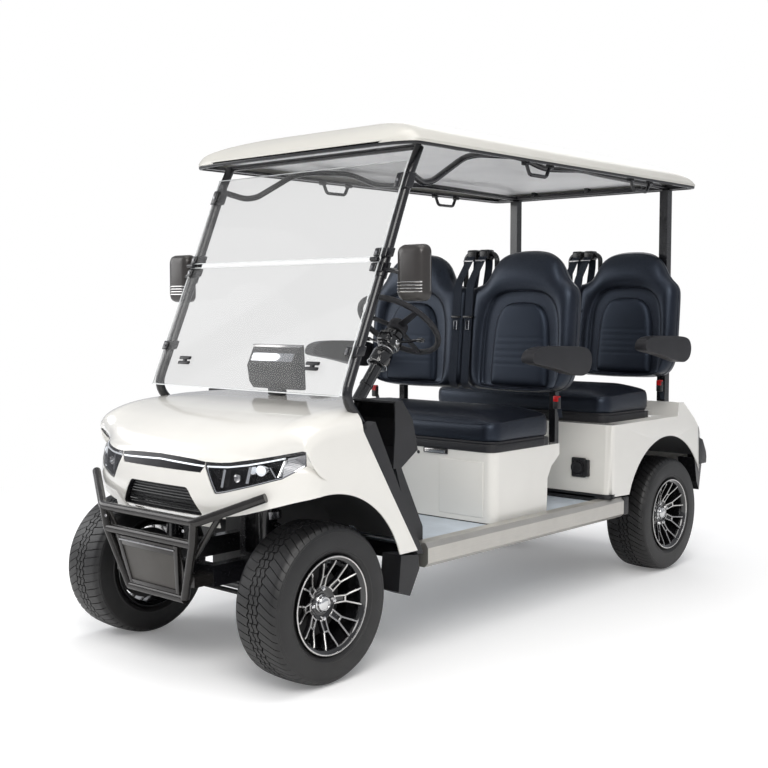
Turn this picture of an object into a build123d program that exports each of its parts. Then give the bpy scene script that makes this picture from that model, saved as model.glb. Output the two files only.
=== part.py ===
from build123d import *
import math
import os

os.makedirs("parts", exist_ok=True)

# A four-seat electric golf cart. Millimetres, ground at z = 0, +X is the cart's left
# (the driver's side), the front faces -Y, and the origin is below the middle of its length.

# ---- driving dimensions -------------------------------------------------------------
WHEELBASE = 2400
GUARD_REACH = 346                  # the brush guard's front, ahead of the front axle
TAIL_REACH = 404                   # the rear body's back, behind the rear axle
FRONT = -(WHEELBASE + TAIL_REACH - GUARD_REACH) / 2   # y of the front axle
REAR = FRONT + WHEELBASE           # y of the rear axle
BODY_HALF = 600                    # half the width over the fenders
SKIN = 5                           # thickness of the moulded body skins
SEAT_GAP = 0.3                     # pads and trim stay this clear of what they sit on
SEAM = 1.0                         # gap between neighbouring body panels
RUN_FIT = 0.05                     # radial clearance of pins and axles

TYRE_R = 281
TYRE_HALF = 105
WHEEL_X = BODY_HALF - 100                      # centre plane of a wheel
BEAD_R = 153
FLANGE_R = 173
RIM_HALF = 103
HUB_R = 34
STUB_R = 16
SPOKES = 8
AXLE_Z = TYRE_R

KINGPIN_X = WHEEL_X - 128
KINGPIN_R = 12
BOSS_R = 25
BOSS_HALF = 45
EAR_T = 16
STEER_LIMIT = 28
STEER_ARM = 105
ROD_EYE_R = 14
DRUM_R = 92
DIFF_R = 88

RAIL_X = 205                       # centre of a chassis rail
RAIL_W = 45
RAIL_LOW = 325
FLOOR_Z = 405
FLOOR_T = 5
RAIL_TOP = FLOOR_Z - FLOOR_T
FRAME_NOSE = 215                   # the rails' front ends, ahead of the front axle
SILL_W = 64
FLOOR_HALF = BODY_HALF - SILL_W - SEAM
LEG_T = 30                         # thickness of the leg panels beside the footwell
LEG_X = FLOOR_HALF - LEG_T
SILL_LOW = 325
SILL_TOP = 420
SILL_FRONT = FRONT + 514
SILL_BACK = REAR - 448

POST_X = 463
POST_Y = REAR + 165
POST_W = 45
POST_FOOT_Z = 668                  # the rear posts stand on a cross beam here
ROOF_RIM_Z = 1898
ROOF_RIM_T = 17
ROOF_BAR_Z = ROOF_RIM_Z + 22
ROOF_BAR_R = 15
PILLAR_X = BODY_HALF - 65
PILLAR_R = 18
GLASS_T = 5
GLASS_OFF = 29                     # the panes stand this far ahead of the pillar line
GLASS_SPLIT_Z = 1480

SEAT_BOX_HALF = BODY_HALF - 80
CUSHION_HALF = SEAT_BOX_HALF - 2
CUSHION_DEPTH = 430
CUSHION_T = 160
TRAY_T = 34
BACK_IN = 3                        # inner and outer edges of one seat back
BACK_OUT = 590
BACK_MID = 319                     # middle of its domed top
BACK_T = 95
BACK_LEAN = 5
EAR_OUT = 597                      # outer face of the plates that carry the armrests
ARM_IN = 604
ARM_W = 60
ARM_PIN_R = 8

GUARD_R = 16


# ---- small helpers ------------------------------------------------------------------
def area(points, radii=0):
    """A closed face from corner points, with its corners rounded."""
    if radii:
        return make_face(FilletPolyline(*points, radius=radii, close=True))
    return make_face(Polyline(*points, close=True))


def across(points, x_low, x_high, radii=0):
    """An outline in (y, z), extruded along X."""
    return extrude(Plane.YZ.offset(x_low) * area(points, radii), amount=x_high - x_low)


def along(points, y_low, y_high, radii=0):
    """An outline in (x, z), extruded along Y."""
    return extrude(Plane.XZ.offset(-y_high) * area(points, radii), amount=y_high - y_low)


def upright(points, z_low, z_high, radii=0):
    """An outline in (x, y), extruded along Z."""
    return extrude(Plane.XY.offset(z_low) * area(points, radii), amount=z_high - z_low)


def block(x, y, z):
    """A box between (low, high) pairs."""
    centre = ((x[0] + x[1]) / 2, (y[0] + y[1]) / 2, (z[0] + z[1]) / 2)
    return Pos(*centre) * Box(x[1] - x[0], y[1] - y[0], z[1] - z[0])


def disc_x(x_low, x_high, y, z, radius):
    """A cylinder along X."""
    plane = Plane(origin=(x_low, y, z), x_dir=(0, 1, 0), z_dir=(1, 0, 0))
    return extrude(plane * Circle(radius), amount=x_high - x_low)


def disc_z(x, y, z_low, z_high, radius):
    """A cylinder along Z."""
    return extrude(Plane.XY.offset(z_low) * Pos(x, y) * Circle(radius), amount=z_high - z_low)


def tube(points, radius, bend=0):
    """A round bar along straight runs, with tangent bends."""
    path = FilletPolyline(*points, radius=bend) if bend else Polyline(*points)
    return sweep(Plane(path @ 0, z_dir=path % 0) * Circle(radius), path)


def both_sides(solid):
    """The solid and its mirror image across the cart's middle plane."""
    return Compound(children=[solid, mirror(solid, about=Plane.YZ)])


def write(name, shape):
    solids = shape.solids()
    part = solids[0] if len(solids) == 1 else Compound(children=list(solids))
    export_step(part, f"parts/{name}.step")


def ahead(points, base):
    """Outline points whose first value is measured from an axle."""
    return [(base + y, z) for y, z in points]


# ---- chassis ------------------------------------------------------------------------
HITCH_SPACING = 120
HITCH_R = 5.5
HITCH_Z = (RAIL_LOW + RAIL_TOP) / 2


def hitch_holes():
    """Two bolt holes for a tow bracket through the rear bar and the cross member behind it."""
    holes = []
    for side in (-1, 1):
        plane = Plane(origin=(side * HITCH_SPACING / 2, REAR + 290, HITCH_Z), z_dir=(0, 1, 0))
        holes.append(extrude(plane * Circle(HITCH_R), amount=90))
    return holes


def chassis_frame():
    front_end = FRONT - FRAME_NOSE
    back_end = REAR + 345
    rail = block((RAIL_X - RAIL_W / 2, RAIL_X + RAIL_W / 2), (front_end, back_end),
                 (RAIL_LOW, RAIL_TOP))
    frame = rail + mirror(rail, about=Plane.YZ)
    # cross members: centre y, half length in x
    for y, half in ((front_end + 25, RAIL_X), (FRONT + 545, SILL_X[0]), (FRONT + 1060, SILL_X[0]),
                    (FRONT + 1480, SILL_X[0]), (REAR - 475, SILL_X[0]), (back_end - 25, POST_X)):
        frame += block((-half, half), (y - 25, y + 25), (RAIL_LOW + 10, RAIL_TOP - 5))
    # rear tower that carries the roof posts
    half = POST_X + POST_W / 2
    frame += block((-half, half), (POST_Y - 20, POST_Y + 20), (POST_FOOT_Z - 28, POST_FOOT_Z))
    for side in (-1, 1):
        inner, outer = sorted((side * (RAIL_X - 20), side * (RAIL_X + 20)))
        frame += block((inner, outer), (POST_Y - 20, POST_Y + 20), (RAIL_TOP - 5, POST_FOOT_Z - 10))
    return frame - hitch_holes()


SILL_X = (FLOOR_HALF + SEAM, BODY_HALF)


def sills():
    x_in, x_out = SILL_X
    bar = along([(x_in, SILL_LOW), (x_out - 18, SILL_LOW), (x_out, SILL_LOW + 16),
                 (x_out, SILL_TOP - 20), (x_out - 14, SILL_TOP), (x_in, SILL_TOP)],
                SILL_FRONT, SILL_BACK)
    return both_sides(bar)


def floor_pan():
    pan = block((-FLOOR_HALF, FLOOR_HALF), (FRONT + 560, REAR - 560), (FLOOR_Z - FLOOR_T, FLOOR_Z))
    top = [(FRONT + 570, FLOOR_Z), (FRONT + 560, FLOOR_Z), (FRONT + 415, 545), (FRONT + 388, 702)]
    low = [(y - FLOOR_T * 0.7, z - FLOOR_T) for y, z in reversed(top)]
    return pan + across(top + low, -LEG_X + SEAM, LEG_X - SEAM)


# ---- wheels and running gear ----------------------------------------------------------
def wheel_plane(side, y):
    """Local x is the wheel's radius and local y points outboard along its axle."""
    return Plane(origin=(side * WHEEL_X, y, AXLE_Z), x_dir=(0, 1, 0), z_dir=(0, 0, -side))


def ring(side, y, points, radii=0):
    profile = wheel_plane(side, y) * area(points, radii)
    return revolve(profile, axis=Axis((side * WHEEL_X, y, AXLE_Z), (1, 0, 0)))


def tyre(side, y):
    t = TYRE_HALF
    bead = BEAD_R + 0.3
    half = [(bead, 61), (159, 88), (FLANGE_R + 2, 90), (205, t), (245, t), (272, t - 10),
            (TYRE_R, t - 32)]
    points = half + [(r, -a) for r, a in reversed(half)]
    return ring(side, y, points)


def rim(side, y):
    h = RIM_HALF
    barrel = ring(side, y, [(FLANGE_R, h), (FLANGE_R, h - 6), (158, h - 12), (BEAD_R, 62),
                            (BEAD_R, -62), (158, -h + 12), (FLANGE_R, -h + 6), (FLANGE_R, -h),
                            (163, -h), (147, -h + 18), (146, -60), (146, 60), (151, h)])
    face = ring(side, y, [(STUB_R + RUN_FIT, 6), (HUB_R, 0), (62, 24), (149, 74), (149, 92),
                          (70, 46), (58, 50), (36, 50), (30, 60), (0, 64), (0, 46),
                          (STUB_R + RUN_FIT, 46)])
    pitch = 360 / SPOKES
    opening = make_face(Polyline((66, -13), (66, 13), (102, 28), (142, 22), (142, -22),
                                 (102, -28), close=True))
    slot = make_face(Polyline((106, -4), (106, 4), (142, 22), (142, -22), close=True))
    base = Plane(origin=(side * WHEEL_X, y, AXLE_Z), x_dir=(0, 1, 0), z_dir=(side, 0, 0))
    for i in range(SPOKES):
        turned = base * Rot(0, 0, i * pitch)
        face -= extrude(turned * opening, amount=120)
        face -= extrude(turned * Rot(0, 0, pitch / 2) * slot, amount=120)
    return barrel + face


def stub_axle(side, y, x_from):
    x_to = WHEEL_X + 44
    ends = sorted((side * x_from, side * x_to))
    return disc_x(ends[0], ends[1], y, AXLE_Z, STUB_R)


def drum(side, y):
    ends = sorted((side * (WHEEL_X - 62), side * (WHEEL_X - 14)))
    return disc_x(ends[0], ends[1], y, AXLE_Z, DRUM_R)


def knuckle(side):
    ear_low = AXLE_Z - BOSS_HALF - EAR_T - 0.5
    ear_top = AXLE_Z + BOSS_HALF + EAR_T + 0.5
    x_a = KINGPIN_X - BOSS_R
    x_b = KINGPIN_X + BOSS_R + 40
    solid = disc_z(KINGPIN_X, FRONT, ear_low, ear_top, KINGPIN_R)
    for z_low, z_high in ((ear_low, ear_low + EAR_T), (ear_top - EAR_T, ear_top)):
        solid += block((x_a, x_b), (FRONT - BOSS_R, FRONT + BOSS_R), (z_low, z_high))
    solid += block((x_b - 25, x_b), (FRONT - BOSS_R, FRONT + BOSS_R), (ear_low, ear_top))
    solid += stub_axle(1, FRONT, x_b - 5)
    solid += drum(1, FRONT)
    # steering arm, pointing back from the lower ear
    solid += block((KINGPIN_X - 14, KINGPIN_X + 14), (FRONT, FRONT + STEER_ARM + 16),
                   (ear_low, ear_low + 12))
    return solid if side > 0 else mirror(solid, about=Plane.YZ)


def front_axle():
    boss = disc_z(KINGPIN_X, FRONT, AXLE_Z - BOSS_HALF, AXLE_Z + BOSS_HALF, BOSS_R)
    beam = disc_x(-KINGPIN_X, KINGPIN_X, FRONT, AXLE_Z, 20)
    solid = beam + boss + mirror(boss, about=Plane.YZ)
    for x in (-KINGPIN_X, KINGPIN_X):
        solid -= disc_z(x, FRONT, 0, 2 * AXLE_Z, KINGPIN_R + RUN_FIT)
    # spring towers: a damper and its coil on each side, seated on the beam
    for side in (-1, 1):
        solid += tube([(side * 275, FRONT, AXLE_Z), (side * 262, FRONT, 600)], 30)
    solid += block((-290, 290), (FRONT - 25, FRONT + 25), (585, 605))
    for side in (-1, 1):
        inner, outer = sorted((side * 150, side * 180))
        solid += block((inner, outer), (FRONT - 25, FRONT + 25), (RAIL_TOP, 590))
        foot = sorted((side * 150, side * (RAIL_X + RAIL_W / 2)))
        solid += block(foot, (FRONT - 25, FRONT + 25), (RAIL_TOP, RAIL_TOP + 15))
    return solid


def tie_rod():
    ear_low = AXLE_Z - BOSS_HALF - EAR_T - 0.5
    z_rod = ear_low - 12
    y_rod = FRONT + STEER_ARM
    rod = disc_x(-KINGPIN_X, KINGPIN_X, y_rod, z_rod, 9)
    for x in (-KINGPIN_X, KINGPIN_X):
        rod += disc_z(x, y_rod, z_rod - 11, z_rod + 11.5, ROD_EYE_R)
    return rod


def rear_axle():
    solid = disc_x(-(WHEEL_X - 60), WHEEL_X - 60, REAR, AXLE_Z, 30)
    solid += disc_x(-60, 60, REAR, AXLE_Z, DIFF_R)
    for side in (-1, 1):
        solid += stub_axle(side, REAR, WHEEL_X - 70)
        solid += drum(side, REAR)
        # leaf spring under each rail, hung from the frame at both ends
        inner, outer = sorted((side * (RAIL_X - 22), side * (RAIL_X + 22)))
        leaf = across([(REAR - 270, RAIL_LOW - 12), (REAR - 60, AXLE_Z - 20),
                       (REAR + 60, AXLE_Z - 20), (REAR + 270, RAIL_LOW - 12),
                       (REAR + 270, RAIL_LOW), (REAR + 250, RAIL_LOW), (REAR + 50, AXLE_Z - 8),
                       (REAR - 50, AXLE_Z - 8), (REAR - 250, RAIL_LOW),
                       (REAR - 270, RAIL_LOW)], inner, outer)
        solid += leaf
    return solid


def drive_motor():
    return block((-85, 85), (REAR - 300, REAR - DIFF_R - SEAT_GAP), (AXLE_Z - 85, AXLE_Z + 95))


def battery_pack():
    return block((-360, 360), (FRONT + 1090, FRONT + 1400), (FLOOR_Z, FLOOR_Z + 250))


# ---- front body ---------------------------------------------------------------------
# side profile of the cowl on the middle plane: y from the front axle, z
COWL_PROFILE = ((-268, 555), (-284, 640), (-274, 740), (-246, 800), (-180, 866), (-60, 914),
                (140, 950), (400, 966))
# cowl sections: distance in from the body's side, how far the nose steps back, how far the top
# drops, y of the rear top corner, y and z of the rear bottom corner
COWL_SECTIONS = ((BODY_HALF, 0, 0, 400, 400, 560), (380, 10, 0, 392, 400, 560),
                 (200, 52, 4, 330, 400, 560), (100, 112, 12, 200, 452, 402),
                 (40, 165, 26, 170, 452, 402), (0, 222, 62, 156, 452, 402))
ARCH_R = 386
ARCH_IN = 292


def cowl_section(x, shift, drop, top_y, low_y, low_z, inset, open_by):
    """One profile of the cowl, moved in by the skin and lengthened past its open edges."""
    points = []
    span = COWL_PROFILE[-1][0] - COWL_PROFILE[3][0]
    for i, (y, z) in enumerate(COWL_PROFILE):
        share = max(0, (y - COWL_PROFILE[3][0]) / span)
        y_new = y + shift + (top_y - COWL_PROFILE[-1][0] - shift) * share
        z_new = z - drop * min(1, i / 4)
        points.append((y_new + inset * (1 - share), z_new - (inset if i > 2 else 0)))
    first = points[0]
    points[0] = (first[0], first[1] - open_by)
    last = points[-1]
    points[-1] = (last[0] + open_by, last[1])
    points.append((low_y + open_by, low_z - open_by))
    return [(FRONT + y, z) for y, z in points]


def cowl_solid(inset, open_by=0):
    """The cowl's solid form, or with an inset the hollow inside it."""
    faces = []
    half = [(BODY_HALF - s[0],) + s[1:] for s in COWL_SECTIONS]
    rows = [(-s[0],) + s[1:] for s in reversed(half[1:])] + half
    for x, shift, drop, top_y, low_y, low_z in rows:
        x_new = max(-BODY_HALF + inset, min(BODY_HALF - inset, x))
        points = cowl_section(x, shift, drop, top_y, low_y, low_z, inset, open_by)
        faces.append(Plane.YZ.offset(x_new) * area(points))
    return loft(faces, ruled=True)


COWL_OUTER = cowl_solid(0)
COWL_SKIN_IN = cowl_solid(SKIN, 70)
COWL_SEAT = cowl_solid(SKIN + SEAT_GAP, 70)
LAMP_FRONT = ((279, 668), (236, 757), (300, 764), (566, 812), (580, 760), (470, 712))
GRILLE_FRONT = ((-205, 738), (205, 738), (222, 786), (-222, 786))
PLATE_FRONT = ((-224, 578), (224, 578), (155, 673), (-155, 673))


def lamp_cut(grow=0):
    """The space of one lamp, seen from the front, grown by the seam."""
    return along(LAMP_FRONT, FRONT - 400, FRONT + 60) if not grow else extrude(
        Plane.XZ.offset(-(FRONT + 60)) * offset(area(LAMP_FRONT), amount=grow), amount=460)


def headlamp():
    depth = cowl_solid(32, 70)
    return (lamp_cut() & COWL_OUTER) - depth


def grille():
    return (along(GRILLE_FRONT, FRONT - 400, FRONT - 100) & COWL_OUTER) - cowl_solid(18, 70)


def plate_panel():
    face = Plane.XZ.offset(-(FRONT - 100)) * offset(area(PLATE_FRONT), amount=12)
    return (extrude(face, amount=300) & cowl_solid(SKIN + SEAT_GAP)) - cowl_solid(14, 70)


def front_cowl():
    shell = COWL_OUTER - COWL_SKIN_IN
    for side in (-1, 1):
        inner, outer = sorted((side * ARCH_IN, side * (BODY_HALF + 20)))
        shell -= disc_x(inner, outer, FRONT - 10, AXLE_Z, ARCH_R)
    lamp = lamp_cut(SEAM)
    shell -= lamp
    shell -= mirror(lamp, about=Plane.YZ)
    for outline in (GRILLE_FRONT, PLATE_FRONT):
        face = Plane.XZ.offset(-(FRONT - 100)) * offset(area(outline), amount=SEAM)
        shell -= extrude(face, amount=300)
    # notches where the windshield pillars come down behind the cowl
    for side in (-1, 1):
        foot = [(side * PILLAR_X, FRONT + y, z) for y, z in PILLAR_LINE[:3]]
        shell -= tube(foot, PILLAR_R + SEAT_GAP, 40)
    return max(shell.solids(), key=lambda s: s.volume)


def cowl_trim():
    """The black strip along the cowl's rear edge and the flap behind each front wheel."""
    strip = across(ahead([(160, 872), (260, 725), (360, 540), (440, 408), (464, 385), (510, 385),
                          (452, 540), (318, 770), (226, 900)], FRONT),
                   BODY_HALF - 45, BODY_HALF - SKIN - SEAT_GAP)
    strip &= COWL_SEAT
    flap = across(ahead([(366, 396), (464, 384), (470, 330), (416, 236), (352, 262)], FRONT),
                  BODY_HALF - 98, BODY_HALF - SKIN - SEAT_GAP)
    return both_sides(strip + flap)


def wheel_liners():
    """Thin black arches over each wheel."""
    pieces = []
    # axle y, centre offset, radius, inner x, outer x, y and z limits of the arch
    for axle, shift, radius, x_in, x_out, y_low, y_high, z_low in (
            (FRONT, -10, ARCH_R, ARCH_IN, BODY_HALF - SKIN - SEAT_GAP, -60, 330, 420),
            (REAR, -35, REAR_ARCH_R, REAR_ARCH_IN, BODY_HALF - SKIN - SEAT_GAP, -400, 250, 440)):
        arch = disc_x(x_in, x_out, axle + shift, AXLE_Z, radius + 6)
        arch -= disc_x(x_in - 1, x_out + 1, axle + shift, AXLE_Z, radius + 2)
        arch &= block((x_in, x_out), (axle + y_low, axle + y_high), (z_low, 900))
        if axle == FRONT:
            arch &= COWL_SEAT
        pieces += arch.solids()
    whole = Compound(children=pieces)
    return Compound(children=[whole, mirror(whole, about=Plane.YZ)])


REAR_ARCH_R = 392
REAR_ARCH_IN = 300


def brush_guard():
    r = GUARD_R
    y_top = FRONT - GUARD_REACH + r
    y_low = FRONT - 290
    top = tube([(-488, FRONT - 205, 668), (-268, y_top, 573), (268, y_top, 573),
                (488, FRONT - 205, 668)], r, 60)
    cross = disc_x(-250, 250, y_top + 6, 492, r)
    guard = top + cross
    for side in (-1, 1):
        guard += tube([(side * 262, y_top, 573), (side * 248, y_top + 6, 492),
                       (side * 160, y_low, 285)], r)
        guard += tube([(side * 350, FRONT - 283, 606), (side * 172, y_low + 4, 394)], 11)
        inner, outer = sorted((side * 160, side * (RAIL_X + 20)))
        guard += block((inner, outer), (y_low - 10, FRONT - FRAME_NOSE), (335, 375))
    guard += disc_x(-162, 162, y_low, 285, r)
    guard += across([(y_top + 2, 480), (y_low - 4, 300), (y_low + 2, 300), (y_top + 8, 480)],
                    -180, 180)
    return guard


def dash_panel():
    """The black dash moulding with a leg panel down each side of the footwell."""
    y_seat = COWL_PROFILE[-1][0] + SEAT_GAP
    outer = ahead([(y_seat, 850), (y_seat, 958), (440, 960), (500, 884), (530, 768), (436, 708),
                   (390, 708)], FRONT)
    inner = ahead([(390, 850), (390, 951), (436, 952), (493, 882), (522, 771), (434, 716),
                   (380, 716)], FRONT)
    dash = across(outer, -FLOOR_HALF, FLOOR_HALF)
    dash -= across(inner, -FLOOR_HALF + 6, FLOOR_HALF - 6)
    dash -= tube([column_point(200), column_point(COLUMN_LENGTH + 20)], COLUMN_R + SEAT_GAP)
    leg = across(ahead([(404, 712), (434, 712), (560, 470), (560, FLOOR_Z + SEAT_GAP),
                        (515, FLOOR_Z + SEAT_GAP), (452, 560)], FRONT), LEG_X, FLOOR_HALF)
    return dash + leg + mirror(leg, about=Plane.YZ)


def display_box():
    box = along([(-140, 985), (140, 985), (130, 1160), (-130, 1160)], FRONT + 262, FRONT + 330, 12)
    stem = block((-40, 40), (FRONT + 290, FRONT + 320), (962, 990))
    return box + stem


# ---- steering -----------------------------------------------------------------------
STEER_X = 300
WHEEL_TILT = 40                    # steering wheel plane, degrees from level
WHEEL_C = (STEER_X, FRONT + 690, 1235)
RIM_R = 172
COLUMN_R = 24
COLUMN_LENGTH = 425


def steer_axis():
    t = math.radians(WHEEL_TILT)
    return (0, math.sin(t), math.cos(t))


def column_point(distance):
    """A point on the steering column, this far below the wheel's centre."""
    a = steer_axis()
    return (WHEEL_C[0], WHEEL_C[1] - a[1] * distance, WHEEL_C[2] - a[2] * distance)


def steering_column():
    shaft = tube([column_point(36), column_point(COLUMN_LENGTH)], COLUMN_R)
    cover = tube([column_point(60), column_point(210)], 42)
    return shaft + cover


def steering_wheel():
    plane = Plane(origin=WHEEL_C, x_dir=(1, 0, 0), z_dir=steer_axis())
    loop = plane * Torus(RIM_R, 13)
    hub = extrude(plane.offset(-35) * Circle(42), amount=50)
    wheel = loop + hub
    for angle in (90, 210, 330):
        spoke = Pos(RIM_R / 2 + 8, 0, -6) * Box(RIM_R - 30, 26, 10)
        wheel += plane * (Rot(0, 0, angle) * spoke)
    return wheel


def pedals():
    pads = []
    for x, w in ((250, 50), (330, 34)):
        pad = across(ahead([(470, 500), (478, 500), (448, 600), (440, 600)], FRONT), x, x + w)
        arm = across(ahead([(408, 590), (446, 590), (446, 600), (406.4, 600)], FRONT), x + 8, x + 20)
        pads.append(pad + arm)
    return Compound(children=pads)


# ---- windshield and roof --------------------------------------------------------------
PILLAR_LINE = ((240, 862), (130, 985), (346, GLASS_SPLIT_Z), (484, 1809), (535, 1905))
GLASS_LOW_Z = 992
GLASS_TOP_Z = 1850


def pillar_y(z):
    """How far behind the front axle the pillar line is at a height above its foot."""
    for (y_a, z_a), (y_b, z_b) in zip(PILLAR_LINE[1:], PILLAR_LINE[2:]):
        if z <= z_b:
            break
    return y_a + (y_b - y_a) * (z - z_a) / (z_b - z_a)


def glass_y(z):
    """The same for the back face of the panes, which are straight between their ends."""
    z_a, z_b = (GLASS_LOW_Z, GLASS_SPLIT_Z) if z < GLASS_SPLIT_Z else (GLASS_SPLIT_Z, GLASS_TOP_Z)
    y_a, y_b = pillar_y(z_a) - GLASS_OFF, pillar_y(z_b) - GLASS_OFF
    return y_a + (y_b - y_a) * (z - z_a) / (z_b - z_a)


def windshield_frame():
    """The two A pillars, their clips and the bar across the top."""
    points = [(PILLAR_X, FRONT + y, z) for y, z in PILLAR_LINE]
    frame = tube(points, PILLAR_R, 40)
    # glass clips at three heights
    for z in (1178, GLASS_SPLIT_Z, 1775):
        low, top = z - 24, z + 24
        clip = [(glass_y(low) + SEAT_GAP, low), (glass_y(top) + SEAT_GAP, top),
                (pillar_y(top), top), (pillar_y(low), low)]
        frame += across(ahead(clip, FRONT), PILLAR_X - 28, PILLAR_X + 10)
    frame += mirror(frame, about=Plane.YZ)
    return frame + disc_x(-PILLAR_X, PILLAR_X, FRONT + pillar_y(1880), 1880, PILLAR_R - 2)


def glass_pane(z_low, z_top):
    """One clear pane between two heights."""
    back = [(glass_y(z_low), z_low), (glass_y(z_top), z_top)]
    front = [(y - GLASS_T, z) for y, z in reversed(back)]
    return across(ahead(back + front, FRONT), -PILLAR_X, PILLAR_X)


def windshield_panes():
    lower = glass_pane(GLASS_LOW_Z, GLASS_SPLIT_Z - 8)
    upper = glass_pane(GLASS_SPLIT_Z + 8, GLASS_TOP_Z)
    return Compound(children=[lower, upper])


ROOF_FRONT = FRONT + 382
ROOF_BACK = REAR + 205
ROOF_HALF = 622
GRIP_Z = 1850


def roof_plan(inset):
    """The rounded outline of the roof."""
    x = ROOF_HALF - inset
    front = ROOF_FRONT + inset
    back = ROOF_BACK - inset
    return [(-x, front + 60), (-x + 150, front), (x - 150, front), (x, front + 60),
            (x, back - 40), (x - 60, back), (-x + 60, back), (-x, back - 40)]


def roof_form(inset, z_low):
    """The crowned roof as a solid, moved in by the inset."""
    f = ROOF_FRONT + inset
    b = ROOF_BACK - inset
    h = ROOF_HALF - inset
    z = ROOF_RIM_Z + ROOF_RIM_T
    side = across([(f, z_low), (f, z + 12), (f + 90, z + 74 - inset), (f + 360, z + 134 - inset),
                   (f + 900, z + 160 - inset), (b - 700, z + 160 - inset), (b - 250, z + 122 - inset),
                   (b - 40, z + 50 - inset), (b, z + 12), (b, z_low)], -h, h)
    end = along([(-h, z_low), (-h, z + 12), (-h + 110, z + 76 - inset), (-h + 330, z + 132 - inset),
                 (0, z + 160 - inset), (h - 330, z + 132 - inset), (h - 110, z + 76 - inset),
                 (h, z + 12), (h, z_low)], f, b)
    plan = upright(roof_plan(inset), z_low, z + 200)
    return side & end & plan


def roof_shell():
    z = ROOF_RIM_Z + ROOF_RIM_T
    return roof_form(0, z) - roof_form(SKIN, z - 20)


def roof_frame():
    """The black rim under the shell with its rails, cross bars and hand grips."""
    rim = upright(roof_plan(3), ROOF_RIM_Z, ROOF_RIM_Z + ROOF_RIM_T)
    rim -= upright(roof_plan(42), ROOF_RIM_Z - 1, ROOF_RIM_Z + ROOF_RIM_T + 1)
    frame = rim
    for side in (-1, 1):
        # rail from the A pillar, bent in and back out to the rear post
        frame += tube([(side * PILLAR_X, FRONT + 545, ROOF_BAR_Z),
                       (side * POST_X, FRONT + 800, ROOF_BAR_Z),
                       (side * POST_X, POST_Y + POST_W / 2, ROOF_BAR_Z)], ROOF_BAR_R, 120)
        x_grip = side * (POST_X + 20)
        for y in (FRONT + 970, FRONT + 1770):
            frame += tube([(x_grip, y, ROOF_BAR_Z + 6), (x_grip, y + 25, GRIP_Z),
                           (x_grip, y + 155, GRIP_Z), (x_grip, y + 180, ROOF_BAR_Z + 6)], 8, 20)
            inner, outer = sorted((side * POST_X, side * (POST_X + 28)))
            frame += block((inner, outer), (y - 6, y + 186), (ROOF_BAR_Z, ROOF_BAR_Z + 12))
    for y in (FRONT + 560, FRONT + 1080, FRONT + 1800, POST_Y):
        frame += disc_x(-ROOF_HALF + 45, ROOF_HALF - 45, y, ROOF_BAR_Z, 12)
    return frame


def rear_posts():
    half = POST_W / 2
    return both_sides(block((POST_X - half, POST_X + half), (POST_Y - half, POST_Y + half),
                            (POST_FOOT_Z, ROOF_RIM_Z)))


def mirrors():
    """Door mirrors on arms from the middle hinges."""
    x_in, x_out = PILLAR_X + 65, PILLAR_X + 187
    head = along([(x_in, 1332), (x_out, 1332), (x_out, 1530), (x_in, 1530)],
                 FRONT + 330, FRONT + 385, 28)
    z_arm = GLASS_SPLIT_Z - 40
    y_arm = FRONT + pillar_y(z_arm)
    arm = tube([(PILLAR_X + PILLAR_R + SEAT_GAP, y_arm, z_arm), (PILLAR_X + 55, y_arm, z_arm),
                (PILLAR_X + 105, FRONT + 358, 1425)], 10, 12)
    return both_sides(head + arm)


# ---- seats --------------------------------------------------------------------------
# seat rows: name, cushion front y, cushion base z, back pad front y, back pad base z
SEAT_ROWS = (("front", FRONT + 1030, 705, FRONT + 1468, 932),
             ("rear", REAR - 490, 764.5, REAR - 12, 959))
# outline of one seat back, (x, z) from the middle of its dome and its base; the inner side first
BACK_INNER = BACK_MID - BACK_IN
BACK_OUTER = BACK_OUT - BACK_MID
# hinges at the rear edge of each seat lid
LID_GAP = 0.5
HINGE_X = CUSHION_HALF - 218
HINGE_W = 50
HINGE_R = 6
HINGE_PIN_R = 3
HINGE_RISE = 2
BACK_H = 636
BACK_SHOULDER = 474
BACK_OUTLINE = [(-BACK_INNER, 0), (BACK_OUTER - 42, 0), (BACK_OUTER, 130), (BACK_OUTER, 470),
                (203, 506), (150, BACK_H), (-150, BACK_H), (-203, 500), (-BACK_INNER, BACK_SHOULDER)]
BACK_RADII = [12, 60, 90, 40, 80, 110, 110, 80, 20]


def front_seat_box():
    lid_y, lid_z = SEAT_ROWS[0][1:3]
    top = lid_z - LID_GAP
    outer = ahead([(0, FLOOR_Z), (0, top), (494, top), (494, 655), (432, 610), (402, 560),
                   (396, FLOOR_Z)], lid_y)
    inner = ahead([(SKIN, FLOOR_Z - 9), (SKIN, top - SKIN), (489, top - SKIN), (489, 658),
                   (428, 614), (397, 562), (391, FLOOR_Z - 9)], lid_y)
    box = across(outer, -SEAT_BOX_HALF, SEAT_BOX_HALF)
    box -= across(inner, -SEAT_BOX_HALF + SKIN, SEAT_BOX_HALF - SKIN)
    # access hole under the lid
    hole = SEAT_BOX_HALF - 20
    box -= block((-hole, hole), (lid_y + 40, lid_y + 382), (top - 20, top + 20))
    return hinge_seats(box, lid_y, lid_z)


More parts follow.
